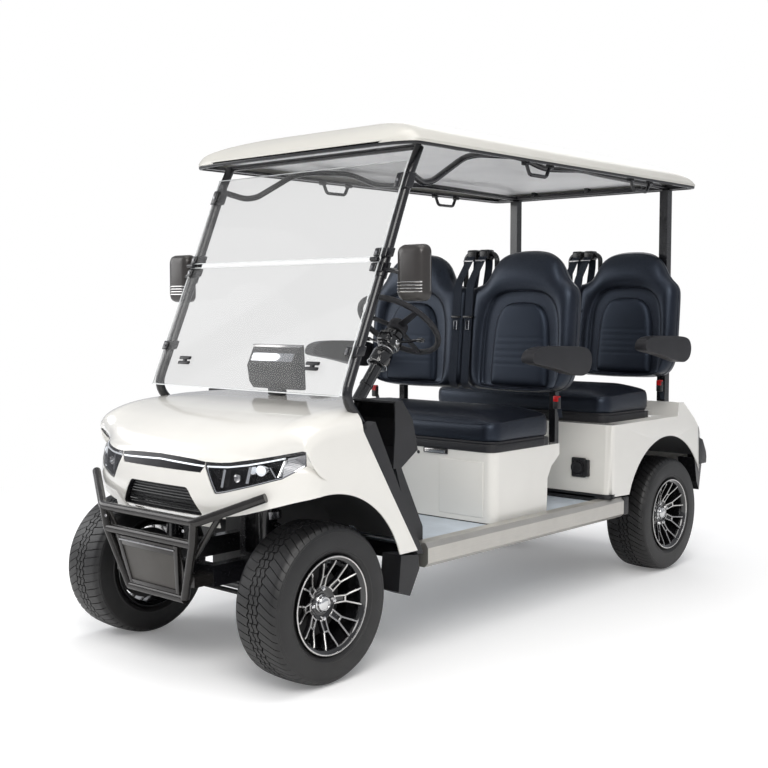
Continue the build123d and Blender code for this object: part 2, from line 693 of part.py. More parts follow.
def seat_tray(y, z):
    tray = upright([(-CUSHION_HALF, y), (CUSHION_HALF, y), (CUSHION_HALF, y + CUSHION_DEPTH),
                    (-CUSHION_HALF, y + CUSHION_DEPTH)], z, z + TRAY_T, 30)
    pin_y, pin_z = y + CUSHION_DEPTH, z + HINGE_RISE
    for x in (-HINGE_X, HINGE_X):
        # room for the fixed lugs, then the barrel between them
        tray -= block((x - HINGE_W, x + HINGE_W), (pin_y - 14, pin_y + 1), (z - 1, z + 14))
        tray += block((x - HINGE_W / 2, x + HINGE_W / 2), (pin_y - 15, pin_y), (z, z + 15))
        tray += disc_x(x - HINGE_W / 2, x + HINGE_W / 2, pin_y, pin_z, HINGE_R)
        tray -= disc_x(x - HINGE_W, x + HINGE_W, pin_y, pin_z, HINGE_PIN_R + RUN_FIT)
    return tray


def hinge_seats(panel, y, z):
    """Adds the lid's fixed lugs and pins to the panel below it, with slots for the barrels."""
    pin_y, pin_z = y + CUSHION_DEPTH, z + HINGE_RISE
    half = HINGE_W / 2
    for x in (-HINGE_X, HINGE_X):
        panel -= block((x - half - 1, x + half + 1), (pin_y - 11, pin_y + 11),
                       (z - LID_GAP - SKIN - 1, z))
        for side in (-1, 1):
            near, far = sorted((x + side * (half + SEAM), x + side * (half + 14)))
            panel += block((near, far), (pin_y - HINGE_R, pin_y + HINGE_R),
                           (z - LID_GAP - SKIN, pin_z))
            panel += disc_x(near, far, pin_y, pin_z, HINGE_R)
        panel += disc_x(x - half - 14, x + half + 14, pin_y, pin_z, HINGE_PIN_R)
    return panel


def seat_cushion(y, z):
    low = z + TRAY_T + SEAT_GAP
    top = z + CUSHION_T
    pad = across([(y, low), (y, top - 30), (y + 30, top - 12), (y + 190, top),
                  (y + CUSHION_DEPTH, top), (y + CUSHION_DEPTH, low)],
                 -CUSHION_HALF, CUSHION_HALF)
    return pad


def seat_back(y, z, side):
    points = [(side * x, z) for x, z in BACK_OUTLINE][::side]
    pad = extrude(Plane.XZ * area(points, BACK_RADII[::side]), amount=-BACK_T)
    return Pos(side * BACK_MID, y, z) * (Rot(-BACK_LEAN, 0, 0) * pad)


ARM_PIN_DY = 62
ARM_PIN_DZ = 158


def seat_frame(y, z, stand):
    """Cross bars behind the backs with the armrest ears, the belt hoop and what they stand on.

    stand is (foot y, foot z) for uprights of their own, or the front face of the roof posts.
    """
    gap = 8
    lean = math.tan(math.radians(BACK_LEAN))
    y_back = y + BACK_T + gap
    low_y = y_back + ARM_PIN_DZ * lean + 3
    top_y = y_back + 380 * lean
    own = isinstance(stand, tuple)
    low_end = low_y + 26 if own else stand
    top_end = top_y + 26 if own else stand
    frame = block((-EAR_OUT, EAR_OUT), (low_y, low_end),
                  (z + ARM_PIN_DZ - 20, z + ARM_PIN_DZ + 20))
    frame += block((-485, 485), (top_y, top_end), (z + 360, z + 395))
    for side in (-1, 1):
        if own:
            foot_y, foot_z = stand
            inner, outer = sorted((side * 432, side * 464))
            top = z + 410
            frame += across([(y_back, foot_z), (y_back, z), (y_back + 410 * lean, top),
                             (y_back + 410 * lean + 28, top), (y_back + 30, z),
                             (y_back + 30, foot_z)], inner, outer)
            frame += block((inner, outer), (foot_y, y_back + 30), (foot_z - 30, foot_z))
        # ear beside the pad, from the cross bar to the armrest's pin
        ear_in, ear_out = sorted((side * (BACK_OUT + SEAT_GAP), side * EAR_OUT))
        frame += block((ear_in, ear_out), (y + ARM_PIN_DY - 20, low_end),
                       (z + ARM_PIN_DZ - 20, z + ARM_PIN_DZ + 20))
        pin_in, pin_out = sorted((side * (EAR_OUT - 3), side * (ARM_IN + ARM_W - 12)))
        frame += disc_x(pin_in, pin_out, y + ARM_PIN_DY, z + ARM_PIN_DZ, ARM_PIN_R)
    # belt hoop between the two backs
    hoop_y, hoop_z = hoop_place(y, z)
    x = HOOP_HALF
    frame += tube([(-x, top_y + 13, z + 375), (-x, hoop_y, z + 470), (-x, hoop_y, hoop_z),
                   (x, hoop_y, hoop_z), (x, hoop_y, z + 470), (x, top_y + 13, z + 375)],
                  HOOP_R, 35)
    return frame


HOOP_HALF = 92
HOOP_R = 12
BELT_T = 3
BELT_LIE = 9                       # from the back's face to the strap


def hoop_place(y, z):
    """Centre line of the belt hoop's top bar."""
    return y + BACK_T + 70, z + BACK_H - 8


def seat_belts(y, z):
    """Two shoulder straps from the hoop, over the inner shoulders, to the seat's rear."""
    hoop_y, hoop_z = hoop_place(y, z)
    lift = HOOP_R + SEAT_GAP
    lie = BELT_LIE
    over = z + BACK_SHOULDER + 10
    over_y = y - lie + (BACK_SHOULDER + 10) * math.tan(math.radians(BACK_LEAN))
    low = [(hoop_y + 5, hoop_z + lift), (hoop_y - 12, hoop_z + lift), (over_y, over),
           (y - lie, z - 8), (y + 60, z - 30)]
    push = [(0, BELT_T), (-BELT_T / 2, BELT_T), (-BELT_T, BELT_T / 2), (-BELT_T, -1), (-1, -BELT_T)]
    high = [(py + dy, pz + dz) for (py, pz), (dy, dz) in zip(low, push)]
    straps = []
    for side in (-1, 1):
        inner, outer = sorted((side * 13, side * 58))
        straps.append(across(low + high[::-1], inner, outer))
    return straps


def armrest(side, y, z):
    pin_y = y + ARM_PIN_DY
    pin_z = z + ARM_PIN_DZ
    points = [(pin_y - 430, pin_z - 12), (pin_y - 415, pin_z + 34), (pin_y - 350, pin_z + 54),
              (pin_y - 20, pin_z + 42), (pin_y + 28, pin_z + 10), (pin_y + 26, pin_z - 40),
              (pin_y - 40, pin_z - 82), (pin_y - 270, pin_z - 34)]
    inner, outer = sorted((side * ARM_IN, side * (ARM_IN + ARM_W)))
    arm = across(points, inner, outer, 15)
    hole = sorted((side * (ARM_IN - 1), side * (ARM_IN + ARM_W - 11)))
    return arm - disc_x(hole[0], hole[1], pin_y, pin_z, ARM_PIN_R + RUN_FIT)


# ---- rear body ----------------------------------------------------------------------
REAR_BODY = ((-572, 432), (-560, 764), (68, 764), (78, 832), (128, 830), (245, 744), (332, 659),
             (392, 560), (404, 516), (361, 400), (300, 400))
REAR_INSET = ((-567, 400), (-555, 759), (72, 759), (82, 827), (126, 825), (241, 740), (327, 656),
              (387, 558), (398, 515), (356, 380), (300, 380))


def rear_body():
    body = across(ahead(REAR_BODY, REAR), -BODY_HALF, BODY_HALF)
    body -= across(ahead(REAR_INSET, REAR), -BODY_HALF + SKIN, BODY_HALF - SKIN)
    corner = 130
    plan = upright([(-BODY_HALF, REAR - 580), (BODY_HALF, REAR - 580), (BODY_HALF, REAR + 410),
                    (-BODY_HALF, REAR + 410)], 300, 900, [30, 30, corner, corner])
    body &= plan
    for side in (-1, 1):
        inner, outer = sorted((side * REAR_ARCH_IN, side * (BODY_HALF + 20)))
        body -= disc_x(inner, outer, REAR - 35, AXLE_Z, REAR_ARCH_R)
        half = POST_W / 2 + SEAT_GAP
        centre = side * POST_X
        body -= block((centre - half, centre + half), (POST_Y - half, POST_Y + half), (600, 900))
    # access hole under the lid
    hole = BODY_HALF - 160
    lid_y, lid_z = SEAT_ROWS[1][1:3]
    body -= block((-hole, hole), (lid_y + 50, lid_y + 390), (lid_z - 14, lid_z + 36))
    body = hinge_seats(max(body.solids(), key=lambda s: s.volume), lid_y, lid_z)
    return body


def rear_bumper():
    bar = block((-470, 470), (REAR + 345, REAR + 372), (RAIL_LOW + 5, RAIL_LOW + 60))
    bar -= hitch_holes()
    flap = across(ahead([(266, 537), (352, 537), (319, 365), (292, 411)], REAR),
                  500, BODY_HALF - SKIN - SEAT_GAP)
    return Compound(children=[bar, flap, mirror(flap, about=Plane.YZ)])


def tail_lamps():
    """A lamp on the sloped back of the body, at each side."""
    (y_a, z_a), (y_b, z_b) = REAR_BODY[6], REAR_BODY[7]
    length = math.dist(REAR_BODY[6], REAR_BODY[7])
    dy, dz = (y_b - y_a) / length, (z_b - z_a) / length
    points = []
    for run, out in ((10, SEAT_GAP), (100, SEAT_GAP), (100, 16), (10, 16)):
        points.append((REAR + y_a + dy * run - dz * out, z_a + dz * run + dy * out))
    return both_sides(across(points, BODY_HALF - 250, BODY_HALF - 140))


# ---- write every piece ------------------------------------------------------------------
def main():
    write("chassis_frame", chassis_frame())
    write("floor_pan", floor_pan())
    write("sills", sills())
    write("front_cowl", front_cowl())
    write("headlamps", both_sides(headlamp()))
    write("grille", Compound(children=[*grille().solids(), *plate_panel().solids()]))
    write("cowl_trim", cowl_trim())
    write("wheel_liners", wheel_liners())
    write("brush_guard", brush_guard())
    write("dash_panel", dash_panel())
    write("display_box", display_box())
    write("pedals", pedals())
    write("steering_column", steering_column())
    write("steering_wheel", steering_wheel())
    write("windshield_frame", windshield_frame())
    write("windshield_panes", windshield_panes())
    write("roof_shell", roof_shell())
    write("roof_frame", roof_frame())
    write("rear_posts", rear_posts())
    write("mirrors", mirrors())
    write("front_seat_box", front_seat_box())
    write("rear_body", rear_body())
    write("rear_bumper", rear_bumper())
    write("tail_lamps", tail_lamps())
    write("battery_pack", battery_pack())
    write("drive_motor", drive_motor())
    write("front_axle", front_axle())
    write("rear_axle", rear_axle())
    write("tie_rod", tie_rod())
    belts = []
    for name, cushion_y, base_z, back_y, back_z in SEAT_ROWS:
        write(f"{name}_seat_tray", seat_tray(cushion_y, base_z))
        write(f"{name}_cushion", seat_cushion(cushion_y, base_z))
        stand = (cushion_y + 494, base_z - 2) if name == "front" else POST_Y - POST_W / 2
        write(f"{name}_seat_frame", seat_frame(back_y, back_z, stand))
        pads = [seat_back(back_y, back_z, side) for side in (-1, 1)]
        write(f"{name}_seat_backs", Compound(children=pads))
        belts += seat_belts(back_y, back_z)
        for side, word in ((1, "left"), (-1, "right")):
            write(f"armrest_{name}_{word}", armrest(side, back_y, back_z))
    write("seat_belts", Compound(children=belts))
    for side, word in ((1, "left"), (-1, "right")):
        write(f"knuckle_{word}", knuckle(side))
        for end, y in (("front", FRONT), ("rear", REAR)):
            write(f"tyre_{end}_{word}", tyre(side, y))
            write(f"rim_{end}_{word}", rim(side, y))


main()
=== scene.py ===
import math
from contextlib import contextmanager
from functools import partial
import bpy
from mathutils import Matrix, Vector
from mathutils.bvhtree import BVHTree


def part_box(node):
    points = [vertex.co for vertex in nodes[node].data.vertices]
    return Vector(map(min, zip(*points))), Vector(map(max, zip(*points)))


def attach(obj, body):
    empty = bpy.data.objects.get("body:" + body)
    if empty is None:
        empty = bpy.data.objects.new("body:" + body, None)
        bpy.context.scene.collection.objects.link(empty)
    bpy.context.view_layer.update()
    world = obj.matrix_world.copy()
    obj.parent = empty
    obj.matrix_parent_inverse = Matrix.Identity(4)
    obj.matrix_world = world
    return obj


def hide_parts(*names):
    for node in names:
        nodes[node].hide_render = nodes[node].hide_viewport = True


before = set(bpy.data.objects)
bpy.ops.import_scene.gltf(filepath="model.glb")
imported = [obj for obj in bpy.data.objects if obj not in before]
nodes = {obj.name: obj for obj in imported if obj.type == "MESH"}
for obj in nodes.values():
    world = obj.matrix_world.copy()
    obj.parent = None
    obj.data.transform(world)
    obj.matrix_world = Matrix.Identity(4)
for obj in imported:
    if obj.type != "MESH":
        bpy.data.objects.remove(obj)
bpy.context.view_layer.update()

# places taken from the frame, in metres
frontLow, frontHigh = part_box("tyre_front_left")
rearLow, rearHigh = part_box("tyre_rear_left")
frontAxle = (frontLow.y + frontHigh.y) / 2
rearAxle = (rearLow.y + rearHigh.y) / 2
axleZ = (frontLow.z + frontHigh.z) / 2
sides = ((1, "Left"), (-1, "Right"))
weldGap = 0.00005
quarter = math.pi / 2


# ---- helpers that act as a user would: select, edit, apply ----
def deselectAll():
    if bpy.context.object and bpy.context.object.mode != "OBJECT":
        bpy.ops.object.mode_set(mode="OBJECT")
    bpy.ops.object.select_all(action="DESELECT")


def pick(*objs):
    deselectAll()
    for o in objs:
        o.select_set(True)
    bpy.context.view_layer.objects.active = objs[-1]


@contextmanager
def editing(o):
    # the piece in edit mode with all of its mesh selected
    pick(o)
    bpy.ops.object.mode_set(mode="EDIT")
    bpy.ops.mesh.select_all(action="SELECT")
    yield o
    bpy.ops.object.mode_set(mode="OBJECT")


def modify(o, kind, **values):
    mod = o.modifiers.new(kind.lower(), kind)
    for key, value in values.items():
        setattr(mod, key, value)
    return mod


def applyMods(o):
    pick(o)
    for m in list(o.modifiers):
        bpy.ops.object.modifier_apply(modifier=m.name)
    return o


def joinAll(objs):
    pick(*objs)
    if len(objs) > 1:
        bpy.ops.object.join()
    return bpy.context.object


def remove(*objs):
    for o in objs:
        bpy.data.objects.remove(o, do_unlink=True)


def dress(parts, name, finish, slot, node=None, smooth=40, body="cart_body"):
    # join, name and finish a piece with its place in its mesh, put it under its body and hide the CAD solid it stands
    # for; slot is not used
    o = applyMods(joinAll(parts) if isinstance(parts, list) else parts)
    bpy.ops.object.transform_apply(location=True, rotation=True, scale=True)
    o.name = name
    o.data.name = name
    o.data.materials.clear()
    o.data.materials.append(mats[finish])
    if smooth:
        bpy.ops.object.shade_smooth_by_angle(angle=math.radians(smooth))
    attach(o, body)
    if node:
        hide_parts(node)
    return o


def fixNormals(o):
    with editing(o):
        bpy.ops.mesh.remove_doubles(threshold=weldGap)
        bpy.ops.mesh.normals_make_consistent(inside=False)
    return o


def link(o):
    bpy.context.scene.collection.objects.link(o)
    return o


def meshFrom(name, verts, faces, edges=()):
    mesh = bpy.data.meshes.new(name)
    mesh.from_pydata(verts, edges, faces)
    mesh.update()
    return link(bpy.data.objects.new(name, mesh))


def gridFaces(rows, columns):
    # faces of a grid whose points were listed row by row
    return [(a, a + 1, a + columns + 1, a + columns)
            for j in range(rows - 1) for a in range(j * columns, (j + 1) * columns - 1)]


def ringFaces(loops):
    # faces between closed rings of point numbers
    return [(a[k], a[k - len(a) + 1], b[k - len(a) + 1], b[k])
            for a, b in zip(loops, loops[1:]) for k in range(len(a))]


def twin(o):
    pick(o)
    bpy.ops.object.duplicate()
    return bpy.context.object


def mirrored(o):
    # a second copy of a piece on the other side of the cart
    copy = twin(o)
    for v in copy.data.vertices:
        v.co.x = -v.co.x
    with editing(copy):
        bpy.ops.mesh.flip_normals()
    return copy


def moved(o, place, turn=0.0, axis="Z", size=(1, 1, 1)):
    # its mesh scaled, turned about an axis and carried to a place
    o.data.transform(Matrix.Translation(place) @ Matrix.Rotation(turn, 4, axis) @ Matrix.Diagonal((*size, 1)))
    return o


def cube(low, high, bevel=0.0, segments=2):
    deselectAll()
    bpy.ops.mesh.primitive_cube_add(size=1, location=[(a + b) / 2 for a, b in zip(low, high)])
    o = bpy.context.object
    o.scale = [b - a for a, b in zip(low, high)]
    bpy.ops.object.transform_apply(location=True, rotation=True, scale=True)
    if bevel:
        with editing(o):
            bpy.ops.mesh.bevel(offset=bevel, segments=segments, affect="EDGES")
    return o


def bendPath(pts, bend, share=0.45, steps=6):
    # straight runs with a soft bend at each corner, which takes no more than its share of a run
    path = [pts[0]]
    for a, b, c in zip(pts, pts[1:], pts[2:]):
        reach = min(bend, (a - b).length * share, (c - b).length * share)
        p, q = b + (a - b).normalized() * reach, b + (c - b).normalized() * reach
        for t in [k / steps for k in range(steps + 1)]:
            path.append(p * (1 - t) ** 2 + b * 2 * t * (1 - t) + q * t * t)
    return path + [pts[-1]]


def rod(points, radius, bend=0.0, sides=16, cyclic=False):
    # a round bar along straight runs with bends, made as a curve and turned into a mesh
    deselectAll()
    pts = [Vector(p) for p in points]
    path = bendPath(pts, bend) if bend and len(pts) > 2 else pts
    curve = bpy.data.curves.new("rod", "CURVE")
    curve.dimensions = "3D"
    spline = curve.splines.new("POLY")
    spline.points.add(len(path) - 1)
    for p, q in zip(spline.points, path):
        p.co = (*q, 1)
    spline.use_cyclic_u = cyclic
    curve.bevel_depth = radius
    curve.bevel_resolution = max(1, sides // 4 - 1)
    curve.use_fill_caps = True
    pick(link(bpy.data.objects.new("rod", curve)))
    bpy.ops.object.convert(target="MESH")
    return bpy.context.object


def drawOut(verts, move, bevel=0.0, segments=2):
    # a flat outline drawn out into a solid
    with editing(meshFrom("slab", verts, [list(range(len(verts)))])) as o:
        bpy.ops.mesh.extrude_region_move(TRANSFORM_OT_translate={"value": move})
        bpy.ops.mesh.select_all(action="SELECT")
        bpy.ops.mesh.normals_make_consistent(inside=False)
        if bevel:
            bpy.ops.mesh.bevel(offset=bevel, segments=segments, affect="EDGES")
    return o


def slabX(points, xLow, xHigh, bevel=0.0, segments=2):
    # an outline in (y, z) drawn out across the cart
    return drawOut([(xLow, y, z) for y, z in points], (xHigh - xLow, 0, 0), bevel, segments)


def cornerArcs(xLow, xHigh, yLow, yHigh, r, steps=6):
    # a rectangle's outline with round corners
    corners = ((xHigh - r, yHigh - r), (xLow + r, yHigh - r), (xLow + r, yLow + r), (xHigh - r, yLow + r))
    return [(x + r * math.cos(a), y + r * math.sin(a)) for turn, (x, y) in enumerate(corners)
            for a in [(turn + k / steps) * quarter for k in range(steps + 1)]]


def roundPlan(xLow, xHigh, yLow, yHigh, r, zLow, zHigh, bevel=0.0):
    # an upright plate with round corners and, if asked, soft top and bottom edges
    o = drawOut([(x, y, zLow) for x, y in cornerArcs(xLow, xHigh, yLow, yHigh, r)], (0, 0, zHigh - zLow))
    if bevel:
        for e in o.data.edges:
            a, b = (o.data.vertices[k].co for k in e.vertices)
            e.select = abs(a.z - b.z) < 1e-6
        bpy.ops.object.mode_set(mode="EDIT")
        bpy.ops.mesh.bevel(offset=bevel, segments=3, affect="EDGES", clamp_overlap=True)
        bpy.ops.object.mode_set(mode="OBJECT")
    return o


def roundEdges(o, test, offset, segments, kind="EDGE"):
    # bevel the edges whose two ends pass a test
    with editing(o):
        bpy.ops.mesh.select_mode(type=kind)
        bpy.ops.mesh.select_all(action="DESELECT")
    for e in o.data.edges:
        e.select = test(*[o.data.vertices[k].co for k in e.vertices])
    bpy.ops.object.mode_set(mode="EDIT")
    bpy.ops.mesh.bevel(offset=offset, segments=segments, profile=0.5, affect="EDGES", clamp_overlap=True)
    bpy.ops.mesh.select_mode(type="VERT")
    bpy.ops.object.mode_set(mode="OBJECT")
    return o


def lathe(profile, steps=72):
    # a profile of (radius, place along the axle) spun round the axle
    o = meshFrom("lathe", [(u, r, 0.0) for r, u in profile], [], [(k, k + 1) for k in range(len(profile) - 1)])
    with editing(o):
        bpy.ops.mesh.spin(steps=steps, angle=2 * math.pi, center=(0, 0, 0), axis=(1, 0, 0))
    return fixNormals(o)


def onto(tree, points, lift=0.0):
    # points moved to the nearest place of a surface, lifted off it a little
    out = []
    for p in points:
        place, normal, _, _ = tree.find_nearest(Vector(p))
        out.append(place + normal * lift)
    return out


def surfaceTree(o):
    mesh = o.data
    return BVHTree.FromPolygons([v.co.copy() for v in mesh.vertices], [tuple(f.vertices) for f in mesh.polygons])


def wire(tree, node, inputs):
    # an input takes a value or another node's output
    for key, value in inputs.items():
        if isinstance(value, bpy.types.NodeSocket):
            tree.links.new(value, node.inputs[key])
        else:
            node.inputs[key].default_value = value
    return node


def put(tree, kind, inputs={}, **settings):
    node = tree.nodes.new("ShaderNode" + kind)
    for key, value in settings.items():
        setattr(node, key, value)
    return wire(tree, node, inputs)


def mathNode(tree, kind, *values):
    return put(tree, "Math", dict(enumerate(values)), operation=kind).outputs[0]


# ---- camera, lights and room ----
camera = {"place": (3.3546, -4.0447, 1.3042), "yaw": 41.80, "down": 3.754, "lens": 54.38, "sensor": 36, "far": 200}


def addCamera():
    deselectAll()
    bpy.ops.object.camera_add(location=camera["place"])
    cam = bpy.context.object
    cam.name = "camera"
    cam.rotation_euler = (math.radians(90 - camera["down"]), 0, math.radians(camera["yaw"]))
    cam.data.lens = camera["lens"]
    cam.data.sensor_width = camera["sensor"]
    cam.data.clip_end = camera["far"]
    bpy.context.scene.camera = cam


studio = {
    # name: place, aimed at, size, watts, colour
    "key": ((3.6, -4.2, 4.6), (0, -0.3, 0.8), 3.6, 182, (1.0, 0.980, 0.950)),
    "fill": ((-5.0, -3.4, 3.0), (0, 0, 0.9), 4.0, 115, (1.0, 1.0, 1.0)),
    "top": ((0.4, -0.6, 9.5), (0, -0.3, 0.5), 8.0, 380, (1.0, 0.980, 0.950)),
    "back": ((-2.6, 5.2, 3.4), (0, 0.4, 1.0), 3.6, 60, (1.0, 1.0, 1.0)),
}
backdrop = {"air": (0.93, 0.95, 1.0, 1), "airStrength": 0.46, "floor": (0.94, 0.94, 0.94, 1),
            "lift": (0.16, 0.16, 0.16, 1),
            "fadeFrom": 1.7, "fadeTo": 4.2, "floorSize": 60, "floorZ": -0.0005}


def addLights():
    for name, (place, aim, size, watts, tint) in studio.items():
        deselectAll()
        bpy.ops.object.light_add(type="AREA", location=place)
        lamp = bpy.context.object
        lamp.name = name + "Light"
        lamp.data.shape = "DISK"
        lamp.data.size = size
        lamp.data.energy = watts
        lamp.data.color = tint
        lamp.rotation_euler = (Vector(aim) - Vector(place)).to_track_quat("-Z", "Y").to_euler()


def seenRays(tree, path):
    # 1 for the camera's rays, straight or through glass
    return mathNode(tree, "MAXIMUM", path["Is Camera Ray"], path["Is Transmission Ray"])


def addRoom():
    world = bpy.data.worlds.new("studio")
    bpy.context.scene.world = world
    bpy.context.scene.view_settings.view_transform = "Standard"
    world.use_nodes = True
    tree = world.node_tree
    tree.nodes.clear()
    room = put(tree, "Background", {"Color": backdrop["air"], "Strength": backdrop["airStrength"]})
    white = put(tree, "Background", {"Color": (1, 1, 1, 1)})
    seen = seenRays(tree, put(tree, "LightPath").outputs)
    mix = put(tree, "MixShader", {"Fac": seen, 1: room.outputs[0], 2: white.outputs[0]})
    put(tree, "OutputWorld", {"Surface": mix.outputs[0]})


def addFloor():
    deselectAll()
    bpy.ops.mesh.primitive_plane_add(size=backdrop["floorSize"], location=(0, 0, backdrop["floorZ"]))
    floor = bpy.context.object
    floor.name = "studioFloor"
    mat = bpy.data.materials.new("studioFloor")
    mat.use_nodes = True
    tree = mat.node_tree
    tree.nodes.clear()
    path = put(tree, "LightPath").outputs
    soft = put(tree, "BsdfDiffuse", {"Color": backdrop["floor"]})
    tint = put(tree, "Mix", {"Factor": path["Is Camera Ray"], "A": (0.0, 0.0, 0.0, 1), "B": backdrop["lift"]},
               data_type="RGBA")
    glow = put(tree, "Emission", {"Strength": 1, "Color": tint.outputs["Result"]})
    near = put(tree, "AddShader", {0: soft.outputs[0], 1: glow.outputs[0]})
    # away from the object the floor turns into the plain white of the backdrop
    far = put(tree, "VectorMath", {0: put(tree, "TexCoord").outputs["Object"]}, operation="LENGTH")
    fade = put(tree, "MapRange", {"From Min": backdrop["fadeFrom"], "From Max": backdrop["fadeTo"],
                                  "Value": far.outputs["Value"]}, interpolation_type="SMOOTHSTEP")
    seen = mathNode(tree, "MULTIPLY", fade.outputs["Result"], seenRays(tree, path))
    mix = put(tree, "MixShader", {"Fac": seen, 1: near.outputs[0], 2: put(tree, "Emission").outputs[0]})
    put(tree, "OutputMaterial", {"Surface": mix.outputs[0]})
    floor.data.materials.append(mat)


addCamera()
addLights()
addRoom()
addFloor()
print("studio ready")


# ---- shader groups shared by the finishes ----
def newGroup(name, sizes, results):
    group = bpy.data.node_groups.new(name, "ShaderNodeTree")
    group.interface.new_socket(name="Vector", in_out="INPUT", socket_type="NodeSocketVector")
    for socket, value in sizes.items():
        group.interface.new_socket(name=socket, in_out="INPUT", socket_type="NodeSocketFloat").default_value = value
    for socket in results:
        group.interface.new_socket(name=socket, in_out="OUTPUT", socket_type="NodeSocketFloat")
    start = group.nodes.new("NodeGroupInput").outputs
    return group, [start[k] for k in range(len(sizes) + 1)], group.nodes.new("NodeGroupOutput")


def newEffect(name, scale, patch):
    # a surface effect: its group, its inputs, its end, and short names for maths and noise in it
    group, sockets, end = newGroup(name, {"Scale": scale, "Patch": patch}, ("Height", "Shade", "Wear"))
    return group, sockets, end, partial(mathNode, group), partial(noiseNode, group, sockets[0])


def noiseNode(tree, vector, scale, detail=2.0, rough=0.5):
    return put(tree, "TexNoise", {"Detail": detail, "Roughness": rough, "Scale": scale, "Vector": vector}).outputs[0]


def makeGrain():
    # moulded plastic, paint and rubber: a fine grain, soft patches and worn spots
    group, (vector, scale, patch), end, maths, noise = newEffect("mouldGrain", 900.0, 6.0)
    cells = put(group, "TexVoronoi", {"Vector": vector, "Scale": maths("MULTIPLY", scale, 0.55)})
    fine = maths("MULTIPLY", noise(scale, 2, 0.6), 0.5)
    spots = maths("SUBTRACT", noise(maths("MULTIPLY", patch, 7), 4, 0.7), 0.56)
    wire(group, end, {"Height": maths("ADD", fine, cells.outputs["Distance"]), "Shade": noise(patch, 3, 0.55),
                      "Wear": maths("MULTIPLY", maths("SMOOTH_MAX", spots, 0.0, 0.04), 4)})
    return group


def makeLeather():
    # pebbled leatherette: rounded cells with creases between and a slow change of shade
    group, (vector, scale, patch), end, maths, noise = newEffect("leatherGrain", 420.0, 5.0)
    wobble = put(group, "TexNoise", {"Scale": 60, "Vector": vector})
    shift = put(group, "VectorMath", {0: wobble.outputs["Color"], 1: (0.004, 0.004, 0.004), 2: vector},
                operation="MULTIPLY_ADD")
    cells = put(group, "TexVoronoi", {"Vector": shift.outputs[0], "Scale": scale}, feature="DISTANCE_TO_EDGE")
    pebble = maths("SMOOTH_MIN", maths("MULTIPLY", cells.outputs["Distance"], 3), 0.8, 0.3)
    folds = maths("MULTIPLY", noise(24, 4, 0.6), 0.6)
    wire(group, end, {"Height": maths("ADD", pebble, folds), "Shade": noise(patch, 3, 0.6),
                      "Wear": maths("SUBTRACT", 1.0, pebble)})
    return group


def makeBrushed():
    # metal with fine lines along one axis and softer smudges
    group, (vector, scale, patch), end, maths, noise = newEffect("brushedLines", 300.0, 8.0)
    long = put(group, "Mapping", {"Scale": (1, 0.02, 1), "Vector": vector}).outputs[0]
    lines = noiseNode(group, long, scale, 3, 0.7)
    smudge = noise(patch, 3, 0.6)
    wire(group, end, {"Height": lines, "Wear": smudge,
                      "Shade": maths("MULTIPLY_ADD", lines, 0.5, maths("MULTIPLY", smudge, 0.5))})
    return group


def makeWeave():
    # flat webbing read from its own strip map: ribs across and twill along
    group, (vector, scale, patch), end, maths, noise = newEffect("webbingWeave", 420.0, 9.0)
    split = put(group, "SeparateXYZ", {0: vector}).outputs
    along = maths("SINE", maths("MULTIPLY", split["Y"], maths("MULTIPLY", scale, 6.283)))
    mixed = maths("ADD", split["X"], maths("MULTIPLY", split["Y"], 0.5))
    cross = maths("SINE", maths("MULTIPLY", mixed, maths("MULTIPLY", scale, 9.0)))
    knit = maths("ADD", maths("MULTIPLY", along, 0.5), maths("MULTIPLY", cross, 0.5))
    wire(group, end, {"Height": knit, "Shade": maths("MULTIPLY_ADD", knit, 0.3, 0.5), "Wear": noise(patch, 3, 0.6)})
    return group


def makeDust():
    # road dust that thins out above the wheels
    group, (vector, top), end = newGroup("roadDust", {"Top": 0.5}, ("Mask",))
    split = put(group, "SeparateXYZ", {0: vector}).outputs
    low = mathNode(group, "DIVIDE", mathNode(group, "SUBTRACT", top, split["Z"]), top)
    mask = put(group, "Clamp", {0: mathNode(group, "MULTIPLY", low, noiseNode(group, vector, 18, 5, 0.7))})
    wire(group, end, {"Mask": mask.outputs[0]})
    return group


effects = {"grain": makeGrain(), "leather": makeLeather(), "brushed": makeBrushed(), "weave": makeWeave()}
dustEffect = makeDust()
dust = {"top": 0.55, "colour": (0.30, 0.28, 0.25, 1)}

